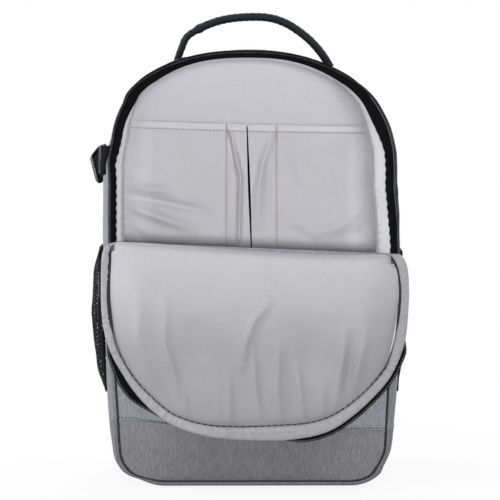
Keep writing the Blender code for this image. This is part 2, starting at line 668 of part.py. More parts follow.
def make_side_strap(finishes):
    """Left strap, sewn at both ends: the rear webbing runs into the socket, the front one under the plug."""
    low, high = SIDE_STRAP_HEIGHT - SIDE_STRAP_WIDTH / 2, SIDE_STRAP_HEIGHT + SIDE_STRAP_WIDTH / 2
    buckle_low, buckle_high = SIDE_STRAP_HEIGHT - BUCKLE_WIDTH / 2, SIDE_STRAP_HEIGHT + BUCKLE_WIDTH / 2
    surface = gusset_reach(buckle_low, buckle_high) + GAP
    middle = surface + BUCKLE_STAND_OFF + BUCKLE_THICKNESS / 2
    mouth = 0.0
    socket = block("buckle_socket_left", (-middle - BUCKLE_THICKNESS / 2, mouth, buckle_low),
                   (-middle + BUCKLE_THICKNESS / 2, mouth + SOCKET_LENGTH, buckle_high), BUCKLE_BEVEL,
                   finishes["plastic"])
    cavity_half = BUCKLE_THICKNESS / 2 - BUCKLE_WALL
    cavity_depth = PRONG_LENGTH + 2 * PRONG_CLEARANCE
    cut(socket, (-middle - cavity_half, mouth - BUCKLE_WALL, buckle_low + BUCKLE_WALL * 1.5),
        (-middle + cavity_half, mouth + cavity_depth, buckle_high - BUCKLE_WALL * 1.5))
    slot_y = mouth + SOCKET_LENGTH - BUCKLE_BAR
    cut(socket, (-middle - BUCKLE_THICKNESS, slot_y - BUCKLE_SLOT, low - GAP),
        (-middle + BUCKLE_THICKNESS, slot_y, high + GAP))
    base_front = mouth - GAP - PLUG_BASE_LENGTH
    plug = block("buckle_plug_left", (-middle - BUCKLE_THICKNESS / 2, base_front, buckle_low),
                 (-middle + BUCKLE_THICKNESS / 2, mouth - GAP, buckle_high), BUCKLE_BEVEL, finishes["plastic"])
    prong_half = cavity_half - PRONG_CLEARANCE
    prong_spread = BUCKLE_WIDTH / 2 - BUCKLE_WALL * 1.5 - PRONG_CLEARANCE - PRONG_WIDTH / 2
    for place in (-prong_spread, 0.0, prong_spread):
        centre = SIDE_STRAP_HEIGHT + place
        join(plug, (-middle - prong_half, mouth - PLUG_BASE_LENGTH / 2, centre - PRONG_WIDTH / 2),
             (-middle + prong_half, mouth + PRONG_LENGTH, centre + PRONG_WIDTH / 2), 0.0)
    plug_slot = base_front + BUCKLE_BAR
    cut(plug, (-middle - BUCKLE_THICKNESS, plug_slot, low - GAP),
        (-middle + BUCKLE_THICKNESS, plug_slot + BUCKLE_SLOT, high + GAP))
    hang_on("buckle_axis", (-middle, mouth, SIDE_STRAP_HEIGHT), [plug])
    flat = -surface - WEBBING_THICKNESS / 2
    sewn_front = FRONT_Y + EDGE_ROUNDING
    slot_middle = slot_y - BUCKLE_SLOT / 2
    under_bar = slot_y + BUCKLE_BAR / 2
    rise = middle - surface - WEBBING_THICKNESS / 2
    routes = {
        "strap_front_left": [(flat, sewn_front), (flat, sewn_front + STRAP_TACK), (flat, plug_slot)],
        "strap_rear_left": [(flat, BACK_Y - EDGE_ROUNDING), (flat, BACK_Y - EDGE_ROUNDING - STRAP_TACK),
                            (flat, under_bar), (flat - rise * 0.12, slot_middle + WEBBING_THICKNESS / 2),
                            (flat - rise * 0.5, slot_middle), (flat - rise, slot_middle)],
    }
    for name, route in routes.items():
        centres = [(x, y, SIDE_STRAP_HEIGHT) for x, y in route]
        strip(name, centres, (0, 0, 1), SIDE_STRAP_WIDTH, WEBBING_THICKNESS, finishes["webbing"])
    loop_bottom, loop_top = SIDE_LOOP_HEIGHT - SIDE_LOOP_WIDTH / 2, SIDE_LOOP_HEIGHT + SIDE_LOOP_WIDTH / 2
    loop_x = gusset_reach(loop_bottom, loop_top) + GAP
    block("side_loop_right", (loop_x, sewn_front, loop_bottom),
          (loop_x + 2 * WEBBING_THICKNESS, sewn_front + SIDE_STRAP_WIDTH, loop_top),
          WEBBING_THICKNESS / 2, finishes["webbing"])


def make_back(finishes):
    seat = BACK_Y + GAP
    levels = ((seat, 1.0), (seat + PAD_THICKNESS / 2, 1.0), (seat + PAD_THICKNESS, 0.85))
    reach = BASE_HALF_WIDTH - PAD_SIDE_MARGIN
    for side, name in ((-1, "left"), (1, "right")):
        xs = sorted((side * PAD_HALF_GAP, side * reach))
        outline = rounded_rectangle((xs[0], PAD_BOTTOM), (xs[1], PAD_TOP), PAD_ROUND)
        slab("back_pad_" + name, outline, levels, finishes["airmesh"])
    levels = ((seat, 1.0), (seat + LUMBAR_THICKNESS / 2, 1.0), (seat + LUMBAR_THICKNESS, 0.82))
    lumbar_reach = LOWER_ANCHOR_X - LOWER_ANCHOR_SIZE / 2 - 2 * GAP
    outline = rounded_rectangle((-lumbar_reach, LUMBAR_BOTTOM), (lumbar_reach, LUMBAR_TOP), PAD_ROUND)
    slab("lumbar_pad", outline, levels, finishes["airmesh"])
    outline = rounded_rectangle((-YOKE_HALF_WIDTH, YOKE_BOTTOM), (YOKE_HALF_WIDTH, YOKE_BOTTOM + YOKE_HEIGHT),
                                YOKE_ROUND)
    slab("strap_yoke", outline, ((seat, 1.0), (seat + YOKE_THICKNESS, 0.98)), finishes["base"])


def make_harness(finishes):
    radius = STRAP_THICKNESS / 2
    axis_y = BACK_Y + 2 * GAP + YOKE_THICKNESS + radius
    lower_radius = WEBBING_THICKNESS
    lower_y = BACK_Y + 2 * GAP + LOWER_ANCHOR_THICKNESS + lower_radius
    for side, name in ((-1, "left"), (1, "right")):
        centres, thicknesses = [], []
        for dip in (0.98, 0.85, 0.5):
            centres.append((side * STRAP_TOP_X, axis_y, STRAP_TOP_HEIGHT + radius * dip))
            thicknesses.append(STRAP_THICKNESS * math.sqrt(1 - dip * dip))
        for i in range(STRAP_STEPS + 1):
            share = i / STRAP_STEPS
            x = side * (STRAP_TOP_X + STRAP_SPREAD * float(smooth_step(share)))
            over_pad = PAD_THICKNESS * float(smooth_step(share * 3))
            y = axis_y + over_pad + STRAP_STAND_OFF * math.sin(math.pi * share ** 0.8)
            centres.append((x, y, STRAP_TOP_HEIGHT - STRAP_LENGTH * share))
            thicknesses.append(STRAP_THICKNESS)
        width_shares = [1.0] * (len(centres) - 3) + [0.92, 0.8, 0.66]
        widths = [STRAP_WIDTH * share for share in width_shares]
        strap = strip("shoulder_strap_" + name, centres, (1, 0, 0), STRAP_WIDTH, STRAP_THICKNESS,
                      finishes["airmesh"], widths=widths, thicknesses=thicknesses)
        end = centres[-1]
        lock_top = end[2] - 2 * GAP
        lock = block("ladder_lock_" + name,
                     (end[0] - LOCK_WIDTH / 2, end[1] - LOCK_THICKNESS / 2, lock_top - LOCK_LENGTH),
                     (end[0] + LOCK_WIDTH / 2, end[1] + LOCK_THICKNESS / 2, lock_top), LOCK_BEVEL,
                     finishes["plastic"])
        slot_half = LOWER_WEBBING_WIDTH / 2 + 2 * GAP
        for slot_top in (lock_top - LOCK_BAR, lock_top - LOCK_LENGTH + LOCK_BAR + LOCK_SLOT):
            cut(lock, (end[0] - slot_half, end[1] - LOCK_THICKNESS, slot_top - LOCK_SLOT),
                (end[0] + slot_half, end[1] + LOCK_THICKNESS, slot_top))
        hang_on("strap_axis_" + name, (side * STRAP_TOP_X, axis_y, STRAP_TOP_HEIGHT), [strap, lock])
        anchor_x = side * LOWER_ANCHOR_X
        half = LOWER_ANCHOR_SIZE / 2
        outline = rounded_rectangle((anchor_x - half, LOWER_ANCHOR_HEIGHT),
                                    (anchor_x + half, LOWER_ANCHOR_HEIGHT + LOWER_ANCHOR_SIZE), ANCHOR_ROUND)
        slab("lower_anchor_" + name, outline,
             ((BACK_Y + GAP, 1.0), (BACK_Y + GAP + LOWER_ANCHOR_THICKNESS, 1.0)), finishes["webbing"])
        pivot_z = LOWER_ANCHOR_HEIGHT + half
        lower_end = lock_top - LOCK_LENGTH - GAP
        centres, thicknesses = [], []
        for dip in (0.95, 0.6):
            centres.append((anchor_x, lower_y, pivot_z - lower_radius * dip))
            thicknesses.append(2 * lower_radius * math.sqrt(1 - dip * dip))
        for i in range(6):
            share = i / 5
            x = anchor_x + (end[0] - anchor_x) * share
            y = lower_y + (end[1] - lower_y) * float(smooth_step(share))
            centres.append((x, y, pivot_z + (lower_end - pivot_z) * share))
            thicknesses.append(2 * lower_radius * (1 - share) + WEBBING_THICKNESS * share)
        webbing = strip("lower_webbing_" + name, centres, (1, 0, 0), LOWER_WEBBING_WIDTH, WEBBING_THICKNESS,
                        finishes["webbing"], thicknesses=thicknesses)
        hang_on("lower_webbing_axis_" + name, (anchor_x, lower_y, pivot_z), [webbing])


def make_dividers(finishes):
    low_y = FRONT_LINING_Y + 2 * GAP
    high_y = BACK_LINING_Y - 2 * GAP - POCKET_FABRIC
    bottom = FLOOR_TOP + GAP
    half = DIVIDER_THICKNESS / 2
    for side, name in ((-1, "left"), (1, "right")):
        x = side * DIVIDER_OFFSET
        top = bottom + DIVIDER_HEIGHT
        wall = block("divider_" + name, (x - half, low_y, bottom), (x + half, high_y, top),
                     DIVIDER_ROUND, finishes["lining"])
        hang_on("divider_axis_" + name, (x, (low_y + high_y) / 2, bottom), [wall])
    reach = DIVIDER_OFFSET - half - GAP
    top = SHELF_HEIGHT + DIVIDER_THICKNESS
    shelf = block("divider_cross", (-reach, low_y, SHELF_HEIGHT), (reach, high_y, top),
                  DIVIDER_ROUND, finishes["lining"])
    hang_on("divider_axis_cross", (0.0, (low_y + high_y) / 2, SHELF_HEIGHT), [shelf])


def make_finishes():
    return {
        "heather": make_material("heather_polyester", "#85868A", 0.85),
        "base": make_material("coated_base_fabric", "#6E6F73", 0.80),
        "back": make_material("back_polyester", "#3A3B3E", 0.88),
        "airmesh": make_material("air_mesh_foam", "#303135", 0.92),
        "lining": make_material("lining_nylon", "#C6C5C9", 0.60),
        "binding": make_material("lining_binding", "#C4C3C5", 0.65),
        "foam": make_material("closed_cell_foam", "#D8D8D4", 0.95),
        "board": make_material("polyethylene_board", "#2A2B2D", 0.55),
        "tape": make_material("zip_tape_black", "#17181A", 0.75),
        "coil": make_material("zip_coil_nylon", "#1E1F22", 0.45),
        "metal": make_material("blackened_zinc", "#26272A", 0.35, 0.9),
        "piping": make_material("piping_black", "#2B2C31", 0.60),
        "mesh": make_material("stretch_mesh_black", "#121214", 0.80),
        "webbing": make_material("webbing_black", "#1D1E21", 0.78),
        "plastic": make_material("acetal_black", "#18191B", 0.38),
        "wrap": make_material("handle_wrap_fabric", "#2A2F35", 0.70),
    }


def main():
    clear_scene()
    finishes = make_finishes()
    make_shells(finishes)
    make_linings(finishes)
    make_mouth_zip(finishes)
    make_flap(finishes)
    make_handle(finishes)
    make_side_pockets(finishes)
    make_side_strap(finishes)
    make_back(finishes)
    make_harness(finishes)
    make_dividers(finishes)


main()
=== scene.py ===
"""Looks of a camera backpack with its domed front flap unzipped and folded down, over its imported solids."""
import math

import bmesh
import bpy
import numpy as np
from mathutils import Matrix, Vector


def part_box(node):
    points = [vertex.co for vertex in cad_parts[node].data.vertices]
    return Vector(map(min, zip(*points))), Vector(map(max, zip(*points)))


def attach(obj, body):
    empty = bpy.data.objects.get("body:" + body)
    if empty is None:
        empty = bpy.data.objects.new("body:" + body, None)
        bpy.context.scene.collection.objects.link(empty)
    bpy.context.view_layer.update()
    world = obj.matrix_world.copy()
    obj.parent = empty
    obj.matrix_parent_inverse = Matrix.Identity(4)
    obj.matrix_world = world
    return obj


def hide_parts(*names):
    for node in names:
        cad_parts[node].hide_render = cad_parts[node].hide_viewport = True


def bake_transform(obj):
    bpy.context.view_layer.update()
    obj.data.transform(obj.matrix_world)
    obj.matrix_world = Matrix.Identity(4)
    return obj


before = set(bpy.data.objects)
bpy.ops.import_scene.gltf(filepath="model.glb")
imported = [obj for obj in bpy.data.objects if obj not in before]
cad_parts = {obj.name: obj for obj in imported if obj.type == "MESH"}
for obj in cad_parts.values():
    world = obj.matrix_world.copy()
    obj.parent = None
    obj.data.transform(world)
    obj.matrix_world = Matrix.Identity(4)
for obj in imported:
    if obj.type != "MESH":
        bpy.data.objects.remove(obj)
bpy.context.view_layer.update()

# Body, in metres: the same outline as the solids
BODY_HEIGHT = 0.4375
BOTTOM = 0.0015
FRONT = -0.075
BACK = 0.075
BASE_HALF = 0.1375
DOME_HALF = 0.143
DOME_HEIGHT = 0.106
DOME_BASE = BODY_HEIGHT - DOME_HEIGHT
DOME_EXPONENT = 2.35
SIDE_BOW = 0.003
CORNER = 0.046
BASE_SWELL = 0.0015
SIDE_SWELL = 0.005
SWELL_RISE = 0.080
GAP = 0.0003
WALL = 0.004
SEAM_HEIGHT = 0.062
FOLD_HEIGHT = 0.233
GARAGE = 0.030
LINING_OUT = 0.0043
LINING_IN = 0.0083
TOOTH_PITCH = 0.00225
PUCKER_PITCH = 0.0085
REAR_FACE = 0.0753
HANDLE_DEPTH = 0.034
STRAP_HEIGHT = 0.3205
POCKET_BOTTOM = 0.190
NET_LOW, NET_HIGH, NET_HALF = 0.0948, 0.2385, 0.054

BASE_POINTS, CORNER_POINTS, SIDE_POINTS, DOME_POINTS = 24, 32, 80, 120


# Shapes

def smooth(share):
    """Smoothstep: 0 below 0, 1 above 1, and three squares less two cubes of the share between."""
    share = np.clip(share, 0.0, 1.0)
    return share * share * (3 - 2 * share)


def runs(line):
    """Distance along a line, from its first point to each of its points."""
    return np.concatenate([[0], np.cumsum(np.linalg.norm(np.diff(line, axis=0), axis=1))])


def read(where, run, line):
    """Points of a line at given distances along it."""
    return np.column_stack([np.interp(where, run, line[:, axis]) for axis in range(line.shape[1])])


def unit(vectors):
    """Each vector divided by its length."""
    return vectors / np.linalg.norm(vectors, axis=1)[:, None]


def stand(flat, y):
    """Points of the front view, as x and z, stood up at one depth."""
    return np.column_stack([flat[:, 0], np.full(len(flat), y), flat[:, 1]])


def level(x, z):
    """Grids of x and z as points at depth 0."""
    return np.stack([x, np.zeros_like(x), z], axis=-1)


def make_outline():
    """Right half of the front outline from bottom centre to top centre, with outward normals.

    A straight base, a quarter circle, a straight side plus half a sine wave, then a quarter superellipse.
    """
    corner_x, corner_z = BASE_HALF - CORNER, BOTTOM + CORNER
    base = np.column_stack([np.linspace(0, corner_x, BASE_POINTS, endpoint=False),
                            np.full(BASE_POINTS, BOTTOM)])
    turn = np.linspace(-math.pi / 2, 0, CORNER_POINTS, endpoint=False)
    corner = np.column_stack([corner_x + CORNER * np.cos(turn), corner_z + CORNER * np.sin(turn)])
    share = np.linspace(0, 1, SIDE_POINTS, endpoint=False)
    side = np.column_stack([BASE_HALF + (DOME_HALF - BASE_HALF) * share + SIDE_BOW * np.sin(np.pi * share),
                            corner_z + (DOME_BASE - corner_z) * share])
    angle = np.linspace(0, math.pi / 2, DOME_POINTS)
    power = 2 / DOME_EXPONENT
    across = np.clip(np.cos(angle), 0, None) ** power
    across[-1] = 0.0
    dome = np.column_stack([DOME_HALF * across, DOME_BASE + DOME_HEIGHT * np.sin(angle) ** power])
    points = np.vstack([base, corner, side, dome])
    along = np.gradient(points, axis=0)
    along[0], along[-1] = (1, 0), (-1, 0)
    normals = np.column_stack([along[:, 1], -along[:, 0]])
    return points, normals / np.linalg.norm(normals, axis=1)[:, None]


LINE, NORMAL = make_outline()
REACH = runs(LINE)


def reach_at(height):
    """Distance along the right outline, from the bottom centre to a height."""
    if height <= BOTTOM + GAP:
        return 0.0
    return float(np.interp(height, LINE[BASE_POINTS:, 1], REACH[BASE_POINTS:]))


def side_line(low, high, offset=0.0, swell=0.0, count=150):
    """Evenly spaced points of the right outline, moved in by an offset and out by a share of the swell."""
    where = np.linspace(reach_at(low), reach_at(high), count)
    points = read(where, REACH, LINE)
    normals = read(where, REACH, NORMAL)
    rise = smooth((points[:, 1] - BOTTOM) / SWELL_RISE)
    flat = 1 - 0.94 * smooth((points[:, 1] - 0.318) / 0.040)
    out = (BASE_SWELL + (SIDE_SWELL - BASE_SWELL) * rise) * flat * swell
    return points + normals * (out - offset)[:, None]


# How far the photographed outline lies from the even one: height in mm, and the shift to the right in mm.
RIGHT_SHIFT = ((0, 4, 13, 21, 30, 240, 262, 285, 302, 318, 335, 348, 361, 369, 377, 393, 401, 409, 420, 437),
               (7, 6, 5, 1, 0, 0, -0.8, -2.2, -3.0, -1.4, -0.6, -1.6, -2.4, -3.4, -4.3, -5, -4.8, -5, -6,
                -5.5))
LEFT_SHIFT = ((0, 4, 8, 11, 15, 25, 40, 325, 342, 350, 360, 375, 385, 395, 402, 411, 419, 425, 437),
              (5, 5, 3, -2, -4, -3, 0, 0, 2.6, 3.6, 3.4, 3.3, 2.9, -0.3, -0.6, 0.6, 1.8, 2.6, 2.2))


def settle(points):
    """How the bag stands: outline shifted by height, right side flared, front seam dropping to the right."""
    x, y, z = points.T
    front = 0.35 + 0.65 * smooth((-0.02 - y) / 0.04)
    flare = 0.0023 + 0.0022 * front * smooth((z - 0.19) / 0.03)
    flare = smooth(x / 0.11) * smooth((0.365 - z) / 0.09) * flare
    flare = flare - 0.0038 * smooth(x / 0.12) * smooth((y + 0.0745) / 0.008) * smooth((z - 0.19) / 0.03)
    lean = 0.0026 * smooth((z - 0.385) / 0.045)
    tilt = 0.006 * smooth((-x - 0.075) / 0.05) - 0.005 * smooth(x / 0.11)
    drop = tilt * np.exp(-((z - SEAM_HEIGHT) / 0.03) ** 2) * smooth((-0.060 - y) / 0.012)
    near = 1 - 0.60 * smooth((y + 0.04) / 0.09)
    shift = (np.interp(z * 1000, *RIGHT_SHIFT) * smooth(x / 0.07)
             + np.interp(z * 1000, *LEFT_SHIFT) * smooth(-x / 0.07)) * near / 1000
    return points + np.column_stack([flare - lean + shift, np.zeros(len(x)), drop])


def arch(low, offset=0.0, swell=0.0, count=150):
    """From the right side at a height, over the dome, to the left side."""
    right = side_line(low, BODY_HEIGHT, offset, swell, count)
    return np.vstack([right, (right * [-1, 1])[-2::-1]])


def cradle(high, offset=0.0, swell=0.0, count=110):
    """From the left side at a height, under the base, to the right side."""
    right = side_line(BOTTOM, high, offset, swell, count)
    return np.vstack([(right * [-1, 1])[:0:-1], right])


def region(low, high, offset=0.0, count=150):
    """Closed outline of the front between two heights."""
    right = side_line(low, high, offset, 0.0, count)
    left = (right * [-1, 1])[::-1]
    left = left[1:] if right[-1, 0] < GAP else left
    left = left[:-1] if right[0, 0] < GAP else left
    return np.vstack([right, left])


def spread(points, count, closed=False):
    """A Catmull-Rom curve through the points, then spaced evenly along its length."""
    points = np.asarray(points, float)
    if closed:
        padded = np.vstack([points[-1:], points, points[:2]])
    else:
        padded = np.vstack([2 * points[0] - points[1], points, 2 * points[-1] - points[-2]])
    t = np.linspace(0, 1, 24, endpoint=False)[:, None]
    spans = []
    for a, b, c, d in zip(padded[:-3], padded[1:-2], padded[2:-1], padded[3:]):
        spans.append(0.5 * (2 * b + (c - a) * t + (2 * a - 5 * b + 4 * c - d) * t ** 2
                            + (3 * b - a - 3 * c + d) * t ** 3))
    curve = np.vstack(spans + [points[:1] if closed else points[-1:]])
    length = runs(curve)
    where = np.linspace(0, length[-1], count, endpoint=not closed)
    return read(where, length, curve)


def ripple(points, wavelength, height, seed):
    """Unevenness of cloth: seven sine waves near one wavelength, each in its own seeded direction."""
    rng = np.random.default_rng(seed)
    ways = rng.normal(size=(7, 3))
    ways = unit(ways)
    rates = 2 * math.pi / wavelength * rng.uniform(0.6, 1.5, 7)
    phases = rng.uniform(0, 2 * math.pi, 7)
    return height * np.sin(points @ (ways * rates[:, None]).T + phases).sum(axis=-1) / 2.6


def fold(x, z, points, width, height):
    """A soft fold along a broken line in mm: a bell curve across it, and a root of half a sine along it."""
    points = np.array(points) / 1000
    ways = np.diff(points, axis=0)
    spans = np.linalg.norm(ways, axis=1)
    best, place, run = np.full(np.shape(x), 9.0), np.zeros(np.shape(x)), 0.0
    for first, way, span in zip(points, ways, spans):
        share = np.clip(((x - first[0]) * way[0] + (z - first[1]) * way[1]) / span ** 2, 0, 1)
        distance = np.hypot(x - first[0] - way[0] * share, z - first[1] - way[1] * share)
        place = np.where(distance < best, (run + share * span) / spans.sum(), place)
        best, run = np.minimum(best, distance), run + span
    fade = np.sin(np.pi * np.clip(place, 0.05, 0.95)) ** 0.6
    return height / 1000 * np.exp(-(best * 1000 / width) ** 2) * fade


def relief(x, z, folds, strength=1.6):
    """The sum of several folds, with their heights times a strength."""
    return sum(fold(x, z, points, width, strength * height) for points, width, height in folds)


def quads(rows, columns, wrap_rows=False, wrap_columns=False):
    """Corner numbers of the faces of a grid of points."""
    r, c = np.meshgrid(np.arange(rows if wrap_rows else rows - 1),
                       np.arange(columns if wrap_columns else columns - 1), indexing="ij")
    r2, c2 = (r + 1) % rows, (c + 1) % columns
    return np.stack([r * columns + c, r * columns + c2, r2 * columns + c2, r2 * columns + c], -1).reshape(-1,
                                                                                                          4)


def ring_body(rings, wrap=False):
    """Points and faces of one closed body from a row of closed rings, a fan closing each end."""
    rows, columns = rings.shape[:2]
    points = rings.reshape(-1, 3)
    faces = quads(rows, columns, wrap, True).tolist()
    if wrap:
        return points, faces
    ends = rings[[0, -1]].mean(axis=1)
    step = np.arange(columns)
    after = (step + 1) % columns
    last = (rows - 1) * columns
    faces += np.column_stack([after, step, np.full(columns, rows * columns)]).tolist()
    faces += np.column_stack([last + step, last + after, np.full(columns, rows * columns + 1)]).tolist()
    return np.vstack([points, ends]), faces


def pillow_body(front, back):
    """Points and faces of one closed body from two grids that face away from each other."""
    rows, columns = front.shape[:2]
    number = np.arange(rows * columns).reshape(rows, columns)
    rim = np.concatenate([number[0], number[1:, -1], number[-1, -2::-1], number[-2:0:-1, 0]])
    after = np.roll(rim, -1)
    total = rows * columns
    faces = quads(rows, columns)
    sides = np.column_stack([rim, after, after + total, rim + total])
    return (np.vstack([front.reshape(-1, 3), back.reshape(-1, 3)]),
            np.vstack([faces, faces[:, ::-1] + total, sides]).tolist())


def disc_body(outline, front, back, rings=60, inner=0.02):
    """A panel: rings drawn from the outline to its middle, front(x, z, share) and back(x, z, share) deep."""
    middle = (outline.max(axis=0) + outline.min(axis=0)) / 2
    shares = np.linspace(inner, 1, rings)[:, None, None]
    flat = middle + (outline - middle) * shares
    x, z = flat[..., 0], flat[..., 1]
    share = np.broadcast_to(shares[..., 0], x.shape)
    near = np.stack([x, front(x, z, share), z], axis=-1)
    far = np.stack([x, back(x, z, share), z], axis=-1)[::-1]
    return ring_body(np.concatenate([near, far]))


def flat_at(depth):
    """Depth function of a panel's level face."""
    return lambda x, z, share: np.full_like(x, depth)


def coons(edge, corner_share, rows, columns):
    """A patch inside an open edge and the straight line between its ends: two rulings less the corners."""
    length = np.linspace(0, 1, len(edge))

    def at(share):
        return read(share, length, edge)

    u, v = np.linspace(0, 1, columns), np.linspace(0, 1, rows)
    left, right = at(corner_share * v), at(1 - corner_share * v)
    low = at(corner_share + (1 - 2 * corner_share) * u)
    top = edge[0] + (edge[-1] - edge[0]) * u[:, None]
    uu, vv = u[None, :, None], v[:, None, None]
    corners = ((1 - uu) * (1 - vv) * edge[0] + uu * (1 - vv) * edge[-1] + (1 - uu) * vv * low[0]
               + uu * vv * low[-1])
    return (1 - vv) * top[None] + vv * low[None] + (1 - uu) * left[:, None] + uu * right[:, None] - corners


def to_edge(points, edge):
    """Distance of each point of a grid to the nearest point of an edge."""
    flat = points.reshape(-1, 2)
    near = [np.hypot(*(part[:, None] - edge[None]).transpose(2, 0, 1)).min(axis=1)
            for part in np.array_split(flat, 12)]
    return np.concatenate(near).reshape(points.shape[:-1])


def strap_rings(centres, across, widths, thicknesses, section_points=28, power=0.45):
    """A strap: a superellipse section carried along its centre line, its width along the across vector."""
    centres = np.asarray(centres, float)
    across = np.broadcast_to(np.asarray(across, float), centres.shape)
    along = np.gradient(centres, axis=0)
    up = np.cross(along, across)
    up = unit(up)
    angle = np.linspace(0, 2 * math.pi, section_points, endpoint=False)
    wide = np.sign(np.cos(angle)) * np.abs(np.cos(angle)) ** power
    thick = np.sign(np.sin(angle)) * np.abs(np.sin(angle)) ** power
    widths = np.broadcast_to(widths, len(centres))[:, None, None] / 2
    thicknesses = np.broadcast_to(thicknesses, len(centres))[:, None, None] / 2
    return (centres[:, None] + across[:, None] * wide[None, :, None] * widths
            + up[:, None] * thick[None, :, None] * thicknesses)


def strap_body(*settings):
    """Points and faces of a closed strap."""
    return ring_body(strap_rings(*settings))


def coil_rings(line, y, outward, width, thickness, pitch, wire, steps=8, sides=5):
    """A zip coil: a wire wound round a flat line, its centre going round an ellipse once for each pitch."""
    length = runs(line)
    turns = int(length[-1] / pitch)
    where = np.linspace(0, length[-1], turns * steps + 1)
    centre = read(where, length, line)
    out = read(where, length, outward)
    angle = np.linspace(0, 2 * math.pi * turns, len(where))
    flat = centre + out * (np.cos(angle) * (width / 2 - wire))[:, None]
    path = np.column_stack([flat[:, 0], y + np.sin(angle) * (thickness / 2 - wire), flat[:, 1]])
    along = np.gradient(path, axis=0)
    along = unit(along)
    side = np.cross(along, stand(out, 0.0) + [0, 0.31, 0])
    side = unit(side)
    up = np.cross(side, along)
    turn = np.linspace(0, 2 * math.pi, sides, endpoint=False)
    return (path[:, None] + side[:, None] * np.cos(turn)[None, :, None] * wire
            + up[:, None] * np.sin(turn)[None, :, None] * wire)


def stitch_body(path, facing, length=0.0024, space=0.0012, thick=0.00038, zigzag=0.0):
    """A row of stitches: short six-sided spindles laid end to end along a path, or across it in a zigzag."""
    path = np.asarray(path, float)
    run = runs(path)
    count = max(int(run[-1] / (length + space)), 1)
    starts = np.arange(count) * (length + space)

    def at(where):
        return read(where, run, path)

    first, last = at(starts), at(starts + length)
    facing = np.asarray(facing, float)
    along = last - first
    along = unit(along)
    side = np.cross(along, facing)
    side = unit(side)
    swing = np.where(np.arange(count) % 2, 1, -1)[:, None] * zigzag
    first, last = first - side * swing, last + side * swing
    shares, sizes = np.array([0, 0.25, 0.75, 1]), np.array([0.35, 1, 1, 0.35]) * thick
    turn = np.linspace(0, 2 * math.pi, 6, endpoint=False)
    rings = (first[:, None, None] + (last - first)[:, None, None] * shares[None, :, None, None]
             + (side[:, None, None] * np.cos(turn)[None, None, :, None]
                + facing * np.sin(turn)[None, None, :, None]) * sizes[None, :, None, None])
    points = rings.reshape(-1, 3)
    base = quads(4, 6, False, True)
    faces = (base[None] + np.arange(count)[:, None, None] * 24).reshape(-1, 4).tolist()
    caps = np.array([np.arange(6)[::-1], np.arange(18, 24)])
    faces += (caps[None] + np.arange(count)[:, None, None] * 24).reshape(-1, 6).tolist()
    return points, faces


def make_piece(name, body, shape, finish, stands_for=(), smoothing=40):
    """Put points and faces into a mesh with its faces outward, and let it ride on its body."""
    points, faces = shape
    points = settle(np.asarray(points, float)) if body == "root" else points
    mesh = bpy.data.meshes.new(name)
    mesh.from_pydata(np.asarray(points, float).tolist(), [], faces)
    form = bmesh.new()
    form.from_mesh(mesh)
    bmesh.ops.recalc_face_normals(form, faces=form.faces)
    form.to_mesh(mesh)
    form.free()
    mesh.materials.append(finishes[finish])
    mesh.shade_smooth()
    mesh.set_sharp_from_angle(angle=math.radians(smoothing))
    piece = bpy.data.objects.new(name, mesh)
    bpy.context.scene.collection.objects.link(piece)
    if body:
        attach(piece, body)
    if stands_for:
        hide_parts(*stands_for)
    return piece


# Finishes

def linear(colour):
    """sRGB hex to a linear colour."""
    parts = [int(colour[i:i + 2], 16) / 255 for i in (1, 3, 5)]
    return (*[c / 12.92 if c <= 0.04045 else ((c + 0.055) / 1.055) ** 2.4 for c in parts], 1.0)


def add(tree, kind, inputs=None, **settings):
    """Add a node, set its settings, and fill its inputs with values or with other nodes' outputs."""
    node = tree.nodes.new(kind)
    for key, value in settings.items():
        setattr(node, key, value)
    for key, value in (inputs or {}).items():
        if isinstance(value, bpy.types.NodeSocket):
            tree.links.new(value, node.inputs[key])
        else:
            node.inputs[key].default_value = value
    return node


def start(name, roughness, colour="#808080", metallic=0.0, sheen=0.0, specular=0.5):
    """A Principled finish with its plain values on the shader's own sockets."""
    finish = bpy.data.materials.new(name)
    finish.use_nodes = True
    tree = finish.node_tree
    shader = tree.nodes["Principled BSDF"]
    shader.inputs["Base Color"].default_value = linear(colour)
    shader.inputs["Roughness"].default_value = roughness
    shader.inputs["Metallic"].default_value = metallic
    shader.inputs["Specular IOR Level"].default_value = specular
    shader.inputs["Sheen Weight"].default_value = sheen
    shader.inputs["Sheen Roughness"].default_value = 0.5
    return finish, tree, shader


def ramp(tree, factor, stops):
    """Colours along a factor, given as (place, hex)."""
    node = add(tree, "ShaderNodeValToRGB", {"Fac": factor})
    for element, (place, colour) in zip(node.color_ramp.elements, (stops[0], stops[-1])):
        element.position, element.color = place, linear(colour)
    for place, colour in stops[1:-1]:
        node.color_ramp.elements.new(place).color = linear(colour)
    return node.outputs["Color"]


def shaded(tree, place, colour, fade):
    """Painted light and shade: colour times a share that goes from 1, at one distance along an axis, to its full
    value at another.
    """
    for axis, near, far, share in fade:
        value = add(tree, "ShaderNodeSeparateXYZ", {"Vector": place}).outputs[axis]
        away = add(tree, "ShaderNodeMath", {0: value}, operation="ABSOLUTE").outputs[0]
        part = add(tree, "ShaderNodeMapRange", {"Value": away, "From Min": near, "From Max": far}).outputs[0]
        full = (share, share, share * min(share, 1.0) ** 0.1, 1)
        shade = add(tree, "ShaderNodeMix", {"Factor": part, "A": (1, 1, 1, 1), "B": full}, data_type="RGBA")
        colour = add(tree, "ShaderNodeMix", {"Factor": 1.0, "A": colour, "B": shade.outputs["Result"]},
                     data_type="RGBA", blend_type="MULTIPLY").outputs["Result"]
    return colour


def raise_up(tree, shader, height, strength, distance):
    """Bump from a height, on the shader's normal."""
    bump = add(tree, "ShaderNodeBump", {"Height": height, "Strength": strength, "Distance": distance})
    tree.links.new(bump.outputs["Normal"], shader.inputs["Normal"])


